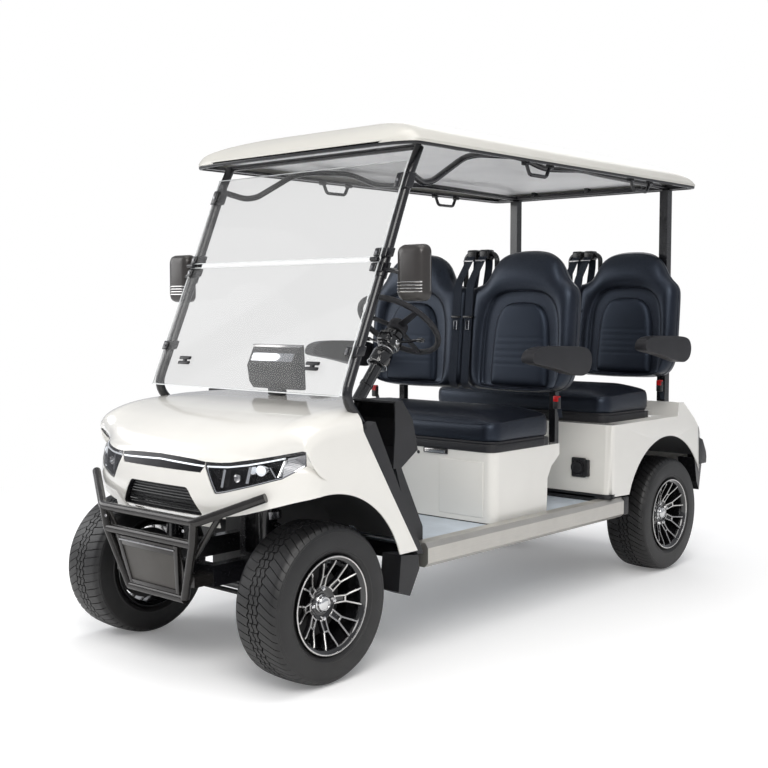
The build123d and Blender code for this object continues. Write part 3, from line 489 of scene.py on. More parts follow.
# colour, roughness, then scale, bump, change of colour, patch size and change of roughness, then what sets it apart
finishes = {
    "paintWhite": ((0.855, 0.838, 0.790), 0.22, 260, 0.006, 0.035, 2.5, 0.05, {"coat": 1.0}),
    # the roof's white is the body paint made darker: painted shade that holds down the light on the roof top
    "roofWhitePaintedShade": ((0.640, 0.625, 0.575), 0.42, 260, 0.008, 0.035, 2.5, 0.05, {"coat": 0.25}),
    "frameBlack": ((0.008, 0.008, 0.010), 0.30, 1400, 0.10, 0.35, 12, 0.12, {"coat": 0.35}),
    "plasticBlack": ((0.014, 0.014, 0.016), 0.42, 1100, 0.30, 0.3, 9, 0.12, {}),
    "plasticGloss": ((0.008, 0.008, 0.009), 0.12, 200, 0.01, 0.25, 9, 0.06, {"coat": 0.8}),
    "linerBlack": ((0.010, 0.010, 0.011), 0.6, 700, 0.35, 0.4, 8, 0.15, {"dust": 0.10}),
    "floorMat": ((0.58, 0.64, 0.70), 0.55, 500, 0.25, 0.12, 7, 0.1, {}),
    "sillMetal": ((0.60, 0.58, 0.54), 0.36, 500, 0.03, 0.12, 9, 0.14, {"metal": 0.85, "grain": "brushed"}),
    "seatLeather": ((0.0070, 0.0080, 0.0120), 0.32, 300, 0.16, 0.25, 5, 0.10,
                    {"shine": (0.56, 0.70, 0.95), "grain": "leather", "coat": 0.12, "coatRough": 0.35}),
    "seatLeatherDeep": ((0.0070, 0.0085, 0.0130), 0.40, 300, 0.20, 0.25, 5, 0.10,
                        {"shine": (0.56, 0.70, 0.95), "grain": "leather"}),
    "foamBlack": ((0.012, 0.012, 0.015), 0.5, 700, 0.16, 0.25, 9, 0.1, {"grain": "leather"}),
    "webbing": ((0.010, 0.011, 0.015), 0.48, 420, 0.55, 0.5, 9, 0.05,
                {"shine": (0.56, 0.70, 0.95), "grain": "weave", "coords": "UV"}),
    "tyreRubber": ((0.0100, 0.0100, 0.0108), 0.50, 900, 0.16, 0.35, 14, 0.12, {"dust": 0.07}),
    "wheelBlack": ((0.006, 0.006, 0.007), 0.16, 300, 0.01, 0.3, 20, 0.08, {"coat": 1.0}),
    "machined": ((0.62, 0.61, 0.60), 0.20, 900, 0.04, 0.16, 20, 0.12, {"metal": 1.0, "grain": "brushed"}),
    "chrome": ((0.72, 0.72, 0.73), 0.09, 120, 0.006, 0.06, 20, 0.05, {"metal": 1.0}),
    "steelGrey": ((0.28, 0.28, 0.29), 0.36, 900, 0.08, 0.3, 25, 0.18, {"metal": 1.0}),
    "castSteel": ((0.035, 0.035, 0.037), 0.45, 500, 0.25, 0.4, 20, 0.15, {"metal": 0.4, "dust": 0.15}),
    "buckleRed": ((0.45, 0.010, 0.012), 0.28, 900, 0.06, 0.15, 30, 0.08, {}),
    "lampRed": ((0.40, 0.008, 0.010), 0.08, 120, 0.01, 0.1, 30, 0.03, {"coat": 1.0}),
    "linerGrey": ((0.93, 0.93, 0.93), 0.55, 600, 0.10, 0.06, 3, 0.08, {}),
    "screenDark": ((0.010, 0.011, 0.013), 0.08, 60, 0.003, 0.2, 9, 0.03, {"coat": 0.6}),
    "lampBlack": ((0.004, 0.004, 0.005), 0.30, 400, 0.02, 0.2, 20, 0.05, {"shine": (0.5, 0.5, 0.52)}),
    "lampSilver": ((0.75, 0.76, 0.78), 0.12, 200, 0.01, 0.06, 20, 0.05, {"metal": 1.0}),
    "lightWhite": ((0.85, 0.87, 0.90), 0.3, 200, 0.01, 0.04, 20, 0.02,
                   {"glow": (0.9, 0.95, 1.0), "glowStrength": 0.55}),
    "lampFrost": ((0.70, 0.71, 0.74), 0.30, 900, 0.05, 0.10, 20, 0.08, {"coat": 0.6, "grain": "brushed"}),
    "guardMetal": ((0.030, 0.028, 0.027), 0.30, 1300, 0.08, 0.25, 14, 0.14, {"metal": 0.55, "coat": 0.25}),
    "guardPanel": ((0.078, 0.073, 0.067), 0.50, 1500, 0.12, 0.12, 9, 0.10, {"metal": 0.35}),
    "mirrorShell": ((0.045, 0.041, 0.039), 0.34, 900, 0.05, 0.10, 9, 0.08, {"metal": 0.20}),
    "guideBlack": ((0.010, 0.010, 0.011), 0.30, 900, 0.1, 0.2, 20, 0.1, {}),
    "motorGrey": ((0.22, 0.22, 0.23), 0.42, 500, 0.18, 0.2, 20, 0.12, {"metal": 0.8}),
    "batteryGrey": ((0.10, 0.105, 0.11), 0.45, 800, 0.2, 0.2, 9, 0.1, {}),
}


def makeFinish(name, colour, rough, scale, bump, tint, patch, spread, extra):
    mat = bpy.data.materials.new(name)
    mat.use_nodes = True
    mat.diffuse_color = (*colour, 1)
    tree = mat.node_tree
    place = put(tree, "TexCoord").outputs
    effect = put(tree, "Group", node_tree=effects[extra.get("grain", "grain")])
    wire(tree, effect, {"Scale": scale, "Patch": patch, "Vector": place[extra.get("coords", "Object")]})
    # colour shifts round its own value
    shade = put(tree, "MapRange", {"From Min": 0.25, "From Max": 0.75, "To Min": 1 - tint, "To Max": 1 + tint,
                                   "Value": effect.outputs["Shade"]})
    tone = put(tree, "Mix", data_type="RGBA", blend_type="MULTIPLY")
    wire(tree, tone, {"Factor": 1, "A": (*colour, 1), "B": shade.outputs["Result"]})
    if "dust" in extra:
        film = put(tree, "Group", node_tree=dustEffect)
        wire(tree, film, {"Top": dust["top"], "Vector": place["Object"]})
        clean = tone.outputs["Result"]
        tone = put(tree, "Mix", data_type="RGBA")
        wire(tree, tone, {"Factor": mathNode(tree, "MULTIPLY", film.outputs["Mask"], extra["dust"]), "A": clean,
                          "B": dust["colour"]})
    worn = effect.outputs["Shade" if extra.get("grain") == "weave" else "Wear"]
    polish = put(tree, "MapRange", {"From Min": 0.2, "From Max": 0.8, "To Min": max(0.02, rough - spread / 2),
                                    "To Max": min(1.0, rough + spread / 2), "Value": worn})
    raised = put(tree, "Bump", {"Strength": min(1.0, bump * 2), "Distance": 0.0006, "Height": effect.outputs["Height"]})
    skin = wire(tree, tree.nodes["Principled BSDF"], {
        "Base Color": tone.outputs["Result"], "Roughness": polish.outputs["Result"], "Normal": raised.outputs[0],
        "Metallic": extra.get("metal", 0.0), "Coat Weight": extra.get("coat", 0.0),
        "Coat Roughness": extra.get("coatRough", 0.04)})
    if "shine" in extra:
        skin.inputs["Specular Tint"].default_value = (*extra["shine"], 1)
    if "glow" in extra:
        wire(tree, skin, {"Emission Color": (*extra["glow"], 1), "Emission Strength": extra["glowStrength"]})
    return mat


def makeGlass(name, colour, rough, film, grow, ior=1.45):
    # thin clear sheet: a faint film with a slow smear, and a shine that grows at the edges of view
    mat = bpy.data.materials.new(name)
    mat.use_nodes = True
    mat.diffuse_color = (*colour, 0.3)
    tree = mat.node_tree
    smear = noiseNode(tree, put(tree, "TexCoord").outputs["Object"], 3.0, 4, 0.6)
    level = put(tree, "MapRange", {"To Min": film * 0.92, "To Max": film * 1.08, "Value": smear})
    edge = put(tree, "Fresnel", {"IOR": ior})
    total = put(tree, "Clamp", {0: mathNode(tree, "MULTIPLY_ADD", edge.outputs[0], grow, level.outputs["Result"])})
    wire(tree, tree.nodes["Principled BSDF"], {"Base Color": (*colour, 1), "Roughness": rough, "IOR": ior,
                                               "Alpha": total.outputs[0]})
    return mat


mats = {name: makeFinish(name, *row) for name, row in finishes.items()}
mats["pane"] = makeGlass("pane", (0.26, 0.262, 0.262), 0.03, 0.070, 0.18)
# the strips round the panes are their own rim, coloured near white as a painted highlight
mats["paneEdgeHighlight"] = makeGlass("paneEdgeHighlight", (0.90, 0.92, 0.92), 0.15, 0.80, 0.2)
mats["lampClear"] = makeGlass("lampClear", (0.12, 0.12, 0.13), 0.03, 0.025, 0.45)
print("finishes ready")


# ---- finishes of the CAD nodes that stay ----
wheelPlaces = ("front_left", "front_right", "rear_left", "rear_right")
nodeFinish = {
    "paintWhite": ["front_cowl", "rear_body", "front_seat_box", "roof_shell"],
    "guardMetal": ["brush_guard"],
    "frameBlack": ["chassis_frame", "windshield_frame", "roof_frame", "rear_posts", "front_seat_frame",
                   "rear_seat_frame", "front_axle", "rear_axle"],
    "floorMat": ["floor_pan"], "sillMetal": ["sills"], "lampClear": ["headlamps"],
    "plasticGloss": ["grille", "rear_bumper"],
    "plasticBlack": ["cowl_trim", "dash_panel", "display_box", "mirrors", "steering_column", "front_seat_tray",
                     "rear_seat_tray", "pedals"],
    "linerBlack": ["wheel_liners"], "pane": ["windshield_panes"], "lampRed": ["tail_lamps"],
    "batteryGrey": ["battery_pack"], "motorGrey": ["drive_motor"],
    "castSteel": ["tie_rod", "knuckle_left", "knuckle_right"],
    "seatLeather": ["front_cushion", "rear_cushion", "front_seat_backs", "rear_seat_backs"],
    "foamBlack": ["steering_wheel"] + ["armrest_" + place for place in wheelPlaces],
    "webbing": ["seat_belts"],
    "tyreRubber": ["tyre_" + place for place in wheelPlaces],
    "wheelBlack": ["rim_" + place for place in wheelPlaces],
}
for finish, names in nodeFinish.items():
    for name in names:
        for slot in nodes[name].material_slots:
            slot.material = mats[finish]
        if not nodes[name].material_slots:
            nodes[name].data.materials.append(mats[finish])
print("CAD nodes finished")


# ---- front cowl ----
cowl = {
    # side profile on the middle line: y from the front axle, z
    "profile": ((-0.262, 0.545), (-0.277, 0.600), (-0.284, 0.655), (-0.279, 0.720), (-0.266, 0.775), (-0.246, 0.802),
                (-0.180, 0.862), (-0.060, 0.913), (0.140, 0.950), (0.400, 0.966)),
    # across from the middle: x, step back of the nose, drop of the top, y of the rear edge
    "across": ((0.0, 0.0, 0.0, 0.400), (0.11, 0.002, 0.0, 0.398), (0.22, 0.010, 0.0, 0.392),
               (0.31, 0.027, 0.001, 0.368), (0.40, 0.054, 0.005, 0.318), (0.45, 0.080, 0.010, 0.268),
               (0.50, 0.112, 0.017, 0.214), (0.54, 0.146, 0.029, 0.184), (0.57, 0.176, 0.045, 0.170),
               (0.59, 0.202, 0.066, 0.162), (0.5985, 0.226, 0.096, 0.160)),
    "half": 0.5985, "lip": 5.0, "wall": 0.005, "lens": 0.003,
    # lower corners of the side walls: y from the front axle, z
    "sideWall": ((0.306, 0.637), (0.456, 0.402), (0.160, 0.402), (-0.030, 0.402)),
    "cutFar": -0.40, "cutNear": 0.06, "faceNear": -0.10, "archOuter": 0.70,
    "archRadius": 0.386, "archCentre": (-0.010, 0.281), "archInner": 0.292,
    # x and z of the top edge of strip and lamps, of the light line, and of the lamp's lower edge
    "topEdge": ((0.0, 0.784), (0.18, 0.7785), (0.236, 0.773), (0.300, 0.7735), (0.340, 0.777), (0.435, 0.7935),
                (0.507, 0.809), (0.575, 0.824)),
    "lightLine": ((0.0, 0.765), (0.189, 0.7585), (0.255, 0.757), (0.333, 0.760), (0.403, 0.7705), (0.456, 0.7822),
                  (0.503, 0.7945), (0.575, 0.812)),
    "lowEdge": ((0.238, 0.757), (0.288, 0.670), (0.296, 0.667), (0.330, 0.673), (0.431, 0.7005), (0.514, 0.7275),
                (0.547, 0.753), (0.575, 0.790), (0.586, 0.812)),
    "strip": ((-0.222, 0.735), (0.222, 0.735), (0.2362, 0.757), (0.2362, 0.773), (0.18, 0.7785), (0.09, 0.782),
              (0.0, 0.784), (-0.09, 0.782), (-0.18, 0.7785), (-0.2362, 0.773), (-0.2362, 0.757)),
    "plate": ((-0.220, 0.583), (0.220, 0.583), (0.226, 0.590), (0.170, 0.668), (0.160, 0.677), (0.150, 0.679),
              (-0.150, 0.679), (-0.160, 0.677), (-0.170, 0.668), (-0.226, 0.590)),
}
cowl["lamp"] = cowl["lowEdge"][2::-1] + cowl["topEdge"][2:] + ((0.588, 0.822),) + cowl["lowEdge"][:2:-1]


def between(table, x):
    # smooth run through a table's rows by its first column
    for k in range(len(table) - 1):
        if x <= table[k + 1][0] or k == len(table) - 2:
            break
    a, b = table[k], table[k + 1]
    t = min(1.0, max(0.0, (x - a[0]) / (b[0] - a[0])))
    out = []
    for c in range(1, len(a)):
        step = (b[c] - a[c]) / (b[0] - a[0])
        back = (a[c] - table[k - 1][c]) / (a[0] - table[k - 1][0]) if k else step
        ahead = (table[k + 2][c] - b[c]) / (table[k + 2][0] - b[0]) if k + 2 < len(table) else step
        m0 = (step + back) / 2 if step * back > 0 else 0.0
        m1 = (step + ahead) / 2 if step * ahead > 0 else 0.0
        if not k:
            m0 = step
        if k + 2 >= len(table):
            m1 = step
        h = b[0] - a[0]
        out.append(a[c] * (2 * t ** 3 - 3 * t * t + 1) + b[c] * (3 * t * t - 2 * t ** 3)
                   + m0 * h * (t ** 3 - 2 * t * t + t) + m1 * h * (t ** 3 - t * t))
    return out


def cowlPoint(x, row):
    # row 0 is the chin, the last row is the rear edge of the hood
    profile = [(k, y, z) for k, (y, z) in enumerate(cowl["profile"])]
    y, z = between(profile, row)
    shift, drop, rear = between(cowl["across"], abs(x))
    share = max(0.0, (row - cowl["lip"]) / (len(profile) - 1 - cowl["lip"])) ** 1.15
    front = y + shift * (1 - share)
    back = y + (rear - profile[-1][1])
    z -= drop * min(1.0, max(0.0, (row - 1) / 4.5))
    return Vector((x, frontAxle + front * (1 - share) + back * share, z))


def cowlSurface():
    half, count = cowl["half"], 73
    xs = [0.0]
    while xs[-1] < half:
        xs.append(min(half, xs[-1] + (0.012 if xs[-1] < 0.50 else 0.006)))
    xs = [-x for x in reversed(xs[1:])] + xs
    rows = [k * 9 / (count - 1) for k in range(count)]
    verts = [cowlPoint(x, r) for x in xs for r in rows]
    faces = [(a, d, c, b) for a, b, c, d in gridFaces(len(xs), count)]
    # side walls: flat from the rim of the shoulder to the rear edge and the lower edge
    for side, start in ((-1, 0), (1, (len(xs) - 1) * count)):
        first = len(verts)
        verts += [Vector((side * half, frontAxle + y, z)) for y, z in cowl["sideWall"]]
        loop = list(range(start, start + count)) + list(range(first, len(verts)))
        faces.append(tuple(loop[::side]))
    return fixNormals(meshFrom("cowlSurface", [tuple(v) for v in verts], faces))


def prism(outline, yLow, yHigh, flip=False):
    # an outline in (x, z) drawn out along the cart
    pts = [(-x, z) for x, z in reversed(outline)] if flip else outline
    return drawOut([(x, yLow, z) for x, z in pts], (0, yHigh - yLow, 0))


def cut(o, tool, kind="DIFFERENCE"):
    modify(o, "BOOLEAN", operation=kind, solver="EXACT", object=tool)
    return applyMods(o)


def thickened(o, wall):
    modify(o, "SOLIDIFY", thickness=wall, offset=-1)
    return applyMods(o)


def makeCowl():
    yFar, yNear, yFace = [frontAxle + cowl[key] for key in ("cutFar", "cutNear", "faceNear")]
    skin = cowlSurface()
    shell = thickened(twin(skin), cowl["wall"])
    cy, cz = cowl["archCentre"]
    inner, outer = cowl["archInner"], cowl["archOuter"]
    for side in (-1, 1):
        deselectAll()
        bpy.ops.mesh.primitive_cylinder_add(
            vertices=160, radius=cowl["archRadius"], depth=outer - inner,
            location=(side * (inner + outer) / 2, frontAxle + cy, cz), rotation=(0, quarter, 0))
        arch = bpy.context.object
        cut(shell, arch)
        remove(arch)
    for flip, (side, word) in zip((False, True), sides):
        tool = prism(cowl["lamp"], yFar, yNear, flip)
        lens = cut(thickened(twin(skin), cowl["lens"]), tool, "INTERSECT")
        cut(shell, tool)
        remove(tool)
        dress(lens, "headlampLens" + word, "lampClear", "lamp_clear", "headlamps", 30)
    for outline in (cowl["strip"], cowl["plate"]):
        tool = prism(outline, yFar, yFace)
        cut(shell, tool)
        remove(tool)
    modify(shell, "BEVEL", width=0.0014, segments=2, limit_method="ANGLE", angle_limit=math.radians(60),
           use_clamp_overlap=True)
    modify(shell, "WEIGHTED_NORMAL", keep_sharp=True)
    pick(shell)
    bpy.ops.object.shade_smooth_by_angle(angle=math.radians(34))
    dress(shell, "cowlShell", "paintWhite", "body_white", "front_cowl", 0)
    return skin


cowlSkin = makeCowl()
cowlFace = surfaceTree(cowlSkin)
remove(cowlSkin)
print("cowl ready")


# ---- roof ----
roof = {"rim": 1.898, "band": 0.017, "front": frontAxle + 0.382, "back": rearAxle + 0.205, "half": 0.622,
        "wall": 0.005, "lip": 0.006,
        # height by the distance from the front, the rear and the side edge
        "along": ((0.0, 0.004), (0.03, 0.036), (0.09, 0.070), (0.20, 0.104), (0.36, 0.130), (0.60, 0.150),
                  (0.90, 0.160)),
        "backRun": ((0.0, 0.004), (0.03, 0.040), (0.10, 0.072), (0.25, 0.116), (0.45, 0.144), (0.70, 0.160)),
        "sideRun": ((0.0, 0.004), (0.03, 0.034), (0.11, 0.076), (0.20, 0.104), (0.33, 0.132), (0.48, 0.150),
                    (0.622, 0.160)),
        # how long and how deep the corners are in plan
        "frontCorner": (0.06, 0.15), "backCorner": (0.05, 0.06)}


def roofPlanHalf(y):
    # half width of the roof at a place along it, with rounded corners
    cuts = [0.0]
    for run, (length, depth) in ((y - roof["front"], roof["frontCorner"]), (roof["back"] - y, roof["backCorner"])):
        if run < length:
            cuts.append(depth * (1 - math.sqrt(max(0.0, 1 - (1 - max(0.0, run) / length) ** 2))))
    return roof["half"] - max(cuts)


def softMin(a, b, k=0.022):
    h = max(0.0, min(1.0, 0.5 + 0.5 * (b - a) / k))
    return b * (1 - h) + a * h - k * h * (1 - h)


def roofHeight(x, y, half):
    front, rear, side = [between(roof[key], min(roof[key][-1][0], run))[0] for key, run in (
        ("along", y - roof["front"]), ("backRun", roof["back"] - y), ("sideRun", max(0.0, half - abs(x))))]
    return softMin(softMin(front, rear), side, 0.030)


def makeRoof():
    z0 = roof["rim"] + roof["band"]
    span = roof["back"] - roof["front"]
    ends = [0.0, 0.004, 0.010, 0.018, 0.028, 0.04, 0.055, 0.075, 0.10]
    ys = ends + [0.10 + (span - 0.20) * k / 60 for k in range(1, 60)] + [span - v for v in reversed(ends)]
    us = [0.0, 0.006, 0.014, 0.024, 0.038, 0.056, 0.08, 0.11] + [0.11 + (1 - 0.11) * k / 24 for k in range(1, 25)]
    rows, row = len(ys), 2 * len(us) - 1
    verts = []
    for y in [roof["front"] + run for run in ys]:
        half = roofPlanHalf(y)
        line = [-(half * (1 - u)) for u in us[:-1]] + [half * (1 - u) for u in reversed(us)]
        verts += [(x, y, z0 + roofHeight(x, y, half)) for x in line]
    # the outer lip turns straight down
    border = list(range(row)) + [i * row + row - 1 for i in range(1, rows)]
    border += [(rows - 1) * row + j for j in range(row - 2, -1, -1)] + [i * row for i in range(rows - 2, 0, -1)]
    lip = list(range(len(verts), len(verts) + len(border)))
    verts += [(*verts[k][:2], z0 - roof["lip"]) for k in border]
    faces = gridFaces(rows, row) + [(a, d, c, b) for a, b, c, d in ringFaces([border, lip])]
    o = fixNormals(meshFrom("roofShell", verts, faces))
    modify(o, "SOLIDIFY", thickness=roof["wall"], offset=-1)
    # the roof takes the darker copy of the body white, as painted shade
    dress(o, "roofShell", "roofWhitePaintedShade", "body_white", "roof_shell")


makeRoof()
print("roof ready")


# ---- seats ----
seat = {
    "rows": {"front": {"cushionY": frontAxle + 1.030, "cushionZ": 0.705, "backY": frontAxle + 1.468, "backZ": 0.932},
             "rear": {"cushionY": frontAxle + 1.910, "cushionZ": 0.7645, "backY": frontAxle + 2.388, "backZ": 0.959}},
    "backMiddle": 0.319, "backThick": 0.095, "domeZ": 0.262, "lean": 5.0, "cushionHalf": 0.518, "cushionDeep": 0.440,
    "cushionLow": 0.0345, "pressure": 4.0, "stiffness": 25, "bending": 3, "frames": 20, "capBack": 0.010,
    "capCushion": 0.014,
    # a cushion's rings from the bottom out, up the side and in to the top: inset, height, corner size
    "wall": ((0.30, 0.0, 0.02), (0.14, 0.0, 0.05), (0.05, 0.0, 0.06), (0.016, 0.0005, 0.06), (0.004, 0.006, 0.06),
             (0.0, 0.022, 0.06), (0.0, 0.045, 0.06), (0.0005, 0.068, 0.06), (0.003, 0.085, 0.058),
             (0.008, 0.096, 0.055), (0.016, 0.104, 0.052),
             (0.030, 0.110, 0.05), (0.05, 0.1145, 0.05), (0.08, 0.118, 0.05),
             (0.115, 0.120, 0.04), (0.150, 0.121, 0.03), (0.185, 0.1215, 0.02)),
    "seamRow": 9, "roll": 0.016,
}
# outlines of a seat back round from the bottom, the inner side on the left: x from the dome's middle, z
backOutline = ((-0.314, 0.003), (-0.150, 0.0), (0.0, 0.0), (0.150, 0.002), (0.215, 0.016), (0.248, 0.048),
               (0.264, 0.100), (0.269, 0.180), (0.269, 0.300), (0.269, 0.410), (0.266, 0.446), (0.252, 0.472),
               (0.226, 0.492), (0.203, 0.520), (0.187, 0.552), (0.163, 0.592), (0.120, 0.622), (0.060, 0.634),
               (0.0, 0.636), (-0.060, 0.634), (-0.120, 0.622), (-0.163, 0.592), (-0.187, 0.552), (-0.203, 0.518),
               (-0.226, 0.492), (-0.262, 0.478), (-0.302, 0.471), (-0.314, 0.460), (-0.315, 0.300), (-0.315, 0.150))
# the horseshoe seam and the pad inside it
ringOutline = ((0.0, 0.014), (0.196, 0.014), (0.206, 0.040), (0.206, 0.140), (0.204, 0.240), (0.199, 0.320),
               (0.180, 0.390), (0.140, 0.434), (0.080, 0.450), (0.0, 0.453))
padOutline = ((0.0, 0.020), (0.150, 0.020), (0.158, 0.040), (0.156, 0.120), (0.152, 0.220), (0.146, 0.290),
              (0.132, 0.346), (0.100, 0.384), (0.056, 0.399), (0.0, 0.402))


def fullLoop(half):
    return list(half) + [(-x, z) for x, z in reversed(half[1:-1])]


def smoothLoop(points, rounds=2):
    for _ in range(rounds):
        new = []
        for a, b in zip(points, points[1:] + points[:1]):
            new += [(a[0] * s + b[0] * (1 - s), a[1] * s + b[1] * (1 - s)) for s in (0.75, 0.25)]
        points = new
    return points


def reach(loop, middle, angle):
    # how far a closed outline lies from its middle, a height on the z axis, in one direction
    dx, dz = math.sin(angle), -math.cos(angle)
    best = 0.0
    for (ax, az), (bx, bz) in zip(loop, loop[1:] + loop[:1]):
        az, bz = az - middle, bz - middle
        ex, ez = bx - ax, bz - az
        det = dx * ez - dz * ex
        if abs(det) < 1e-12:
            continue
        t, s = (ax * ez - az * ex) / det, (ax * dz - az * dx) / det
        if t > 0 and -1e-9 <= s <= 1 + 1e-9:
            best = max(best, t)
    return best


def inflate(o, pinned, cap):
    # cloth pressure puffs the panels between their seams, and no point goes further than the cap
    pick(o)
    o.vertex_groups.new(name="seams").add(pinned, 1.0, "REPLACE")
    before = [v.co.copy() for v in o.data.vertices]
    cloth = modify(o, "CLOTH")
    cloth.settings.use_pressure = True
    cloth.settings.uniform_pressure_force = seat["pressure"]
    cloth.settings.vertex_group_mass = "seams"
    cloth.settings.effector_weights.gravity = 0
    cloth.settings.tension_stiffness = seat["stiffness"]
    cloth.settings.compression_stiffness = seat["stiffness"]
    cloth.settings.bending_stiffness = seat["bending"]
    cloth.point_cache.frame_start = 1
    cloth.point_cache.frame_end = seat["frames"]
    for k in range(1, seat["frames"] + 1):
        bpy.context.scene.frame_set(k)
    applyMods(o)
    bpy.context.scene.frame_set(1)
    for v, p in zip(o.data.vertices, before):
        move = v.co - p
        if move.length > cap:
            v.co = p + move * (cap / move.length)
    o.vertex_groups.clear()


def backBody():
    # the outer shell of a seat back: bolster round a sunk middle, rounded sides and a flat rear
    around, t, middle = 144, seat["backThick"], seat["domeZ"]
    angles = [2 * math.pi * k / around for k in range(around)]
    none = [0.0] * around
    outer, inner = [[reach(loop, middle, a) for a in angles]
                    for loop in (smoothLoop(list(backOutline)), smoothLoop(fullLoop(ringOutline)))]
    # rings: from, to, share of the way, depth; first the sunk middle, where the pad sits
    rings = [(none, inner, f, 0.022) for f in (0.12, 0.3, 0.5, 0.7, 0.84, 0.94)] + [(none, inner, 0.985, 0.019)]
    seamA = len(rings)
    rings.append((none, inner, 1.0, 0.015))
    # bolster up from the horseshoe seam, over its crest, round to the side and in behind
    for f, d in ((0.03, 0.006), (0.12, 0.001), (0.26, -0.003), (0.42, -0.004), (0.58, -0.001), (0.72, 0.004),
                 (0.84, 0.011), (0.93, 0.021), (0.98, 0.033), (1.0, 0.046)):
        rings.append((inner, outer, f, d))
    seamB = len(rings)
    rings += [(inner, outer, f, d) for f, d in ((1.0, 0.056), (1.0, 0.068), (0.985, 0.080), (0.95, 0.089), (0.86, t))]
    rings += [(none, inner, f, t + 0.001) for f in (0.9, 0.7, 0.45, 0.2)]
    verts = []
    for start, end, f, depth in rings:
        for a, r0, r1 in zip(angles, start, end):
            r = r0 + (r1 - r0) * f
            verts.append((math.sin(a) * r, depth, middle - math.cos(a) * r))
    loops = [list(range(k, k + around)) for k in range(0, len(verts), around)]
    faces = [(a, d, c, b) for a, b, c, d in ringFaces(loops)]
    held = loops[:seamA + 1] + [loops[seamB]] + loops[-6:]
    return fixNormals(meshFrom("backBody", verts, faces)), sorted({k for row in held for k in row})


def backPad():
    # the sewn pad inside the horseshoe, with its channels across
    columns, rows = 44, 84
    pad = smoothLoop(fullLoop(padOutline))
    low, high = min(z for x, z in pad), max(z for x, z in pad)
    channels = [0.118 + 0.030 * k for k in range(5)]
    verts = []
    for j in range(rows + 1):
        t = 0.5 - 0.5 * math.cos(math.pi * (0.04 + 0.92 * (j / rows)))
        t = (t - 0.5) / (0.5 - (0.5 - 0.5 * math.cos(math.pi * 0.04))) * 0.5 + 0.5
        z = low + 0.0004 + (high - low - 0.0008) * t
        w = max(abs(ax + (bx - ax) * (z - az) / (bz - az)) for (ax, az), (bx, bz) in zip(pad, pad[1:] + pad[:1])
                if (az - z) * (bz - z) <= 0 and az != bz)
        for i in range(columns + 1):
            s = math.sin((-1 + 2 * i / columns) * math.pi / 2 * 0.94) / math.sin(math.pi / 2 * 0.94)
            edge = max(0.0, min(w * (1 - abs(s)), z - low, high - z))
            rise = 0.021 * (1 - math.exp(-edge / 0.010))
            dip = max(0.0013 * math.exp(-(abs(z - c) / 0.0050) ** 2) for c in channels) * min(1.0, edge / 0.02)
            verts.append((s * w, 0.0225 - rise - 0.006 * (1 - s * s) + dip, z))
    return thickened(meshFrom("backPad", verts, gridFaces(rows + 1, columns + 1)), 0.006)


def roundRect(hx, hy, c, count):
    # points evenly spaced round a rectangle with round corners
    flat = (2 * (hx - c), 2 * (hy - c))
    arc = quarter * c
    total = 2 * sum(flat) + 4 * arc
    for k in range(count):
        s = total * k / count
        for side in range(8):
            length = arc if side % 2 else flat[side // 2 % 2]
            if s <= length + 1e-9:
                break
            s -= length
        ux, uy = ((1, 0), (0, 1), (-1, 0), (0, -1))[side // 2]
        long, wide = (hx, hy) if uy == 0 else (hy, hx)
        along, out = c - long + s, wide
        if side % 2:
            along, out = long - c + c * math.sin(s / c), wide - c + c * math.cos(s / c)
        yield ux * along + uy * out, uy * along - ux * out


def frontRoll(y):
    # the front edge rolls down further than the rear
    return seat["roll"] * max(0.0, min(1.0, (-y + 0.06) / 0.27)) ** 2


def cushionBody():
    # a long cushion: nearly flat below, crowned above
    h, d, low = seat["cushionHalf"], seat["cushionDeep"], seat["cushionLow"]
    count = 248
    verts = []
    for inset, rise, corner in seat["wall"]:
        hx, hy = h - inset, d / 2 - min(inset, d / 2 - 0.012)
        z = low + rise
        share = min(1.0, (z - low - 0.05) / 0.05) if z > low + 0.05 else 0.0
        verts += [(x, y, z - frontRoll(y) * share)
                  for x, y in roundRect(hx, hy, min(corner, hx * 0.9, hy * 0.9), count)]
    loops = [list(range(k, k + count)) for k in range(0, len(verts), count)]
    pinned = [k for row in loops[:4] + [loops[seat["seamRow"]]] for k in row]
    return fixNormals(meshFrom("cushionBody", verts, ringFaces(loops))), pinned


def cordRound(tree, points, lift, radius):
    return rod(onto(tree, points, lift), radius, sides=8, cyclic=True)


def softDress(o, name, node, body="cart_body"):
    dress(o, name, "seatLeather", "seat_skin", node, 0, body)
    pick(o)
    bpy.ops.object.shade_smooth()


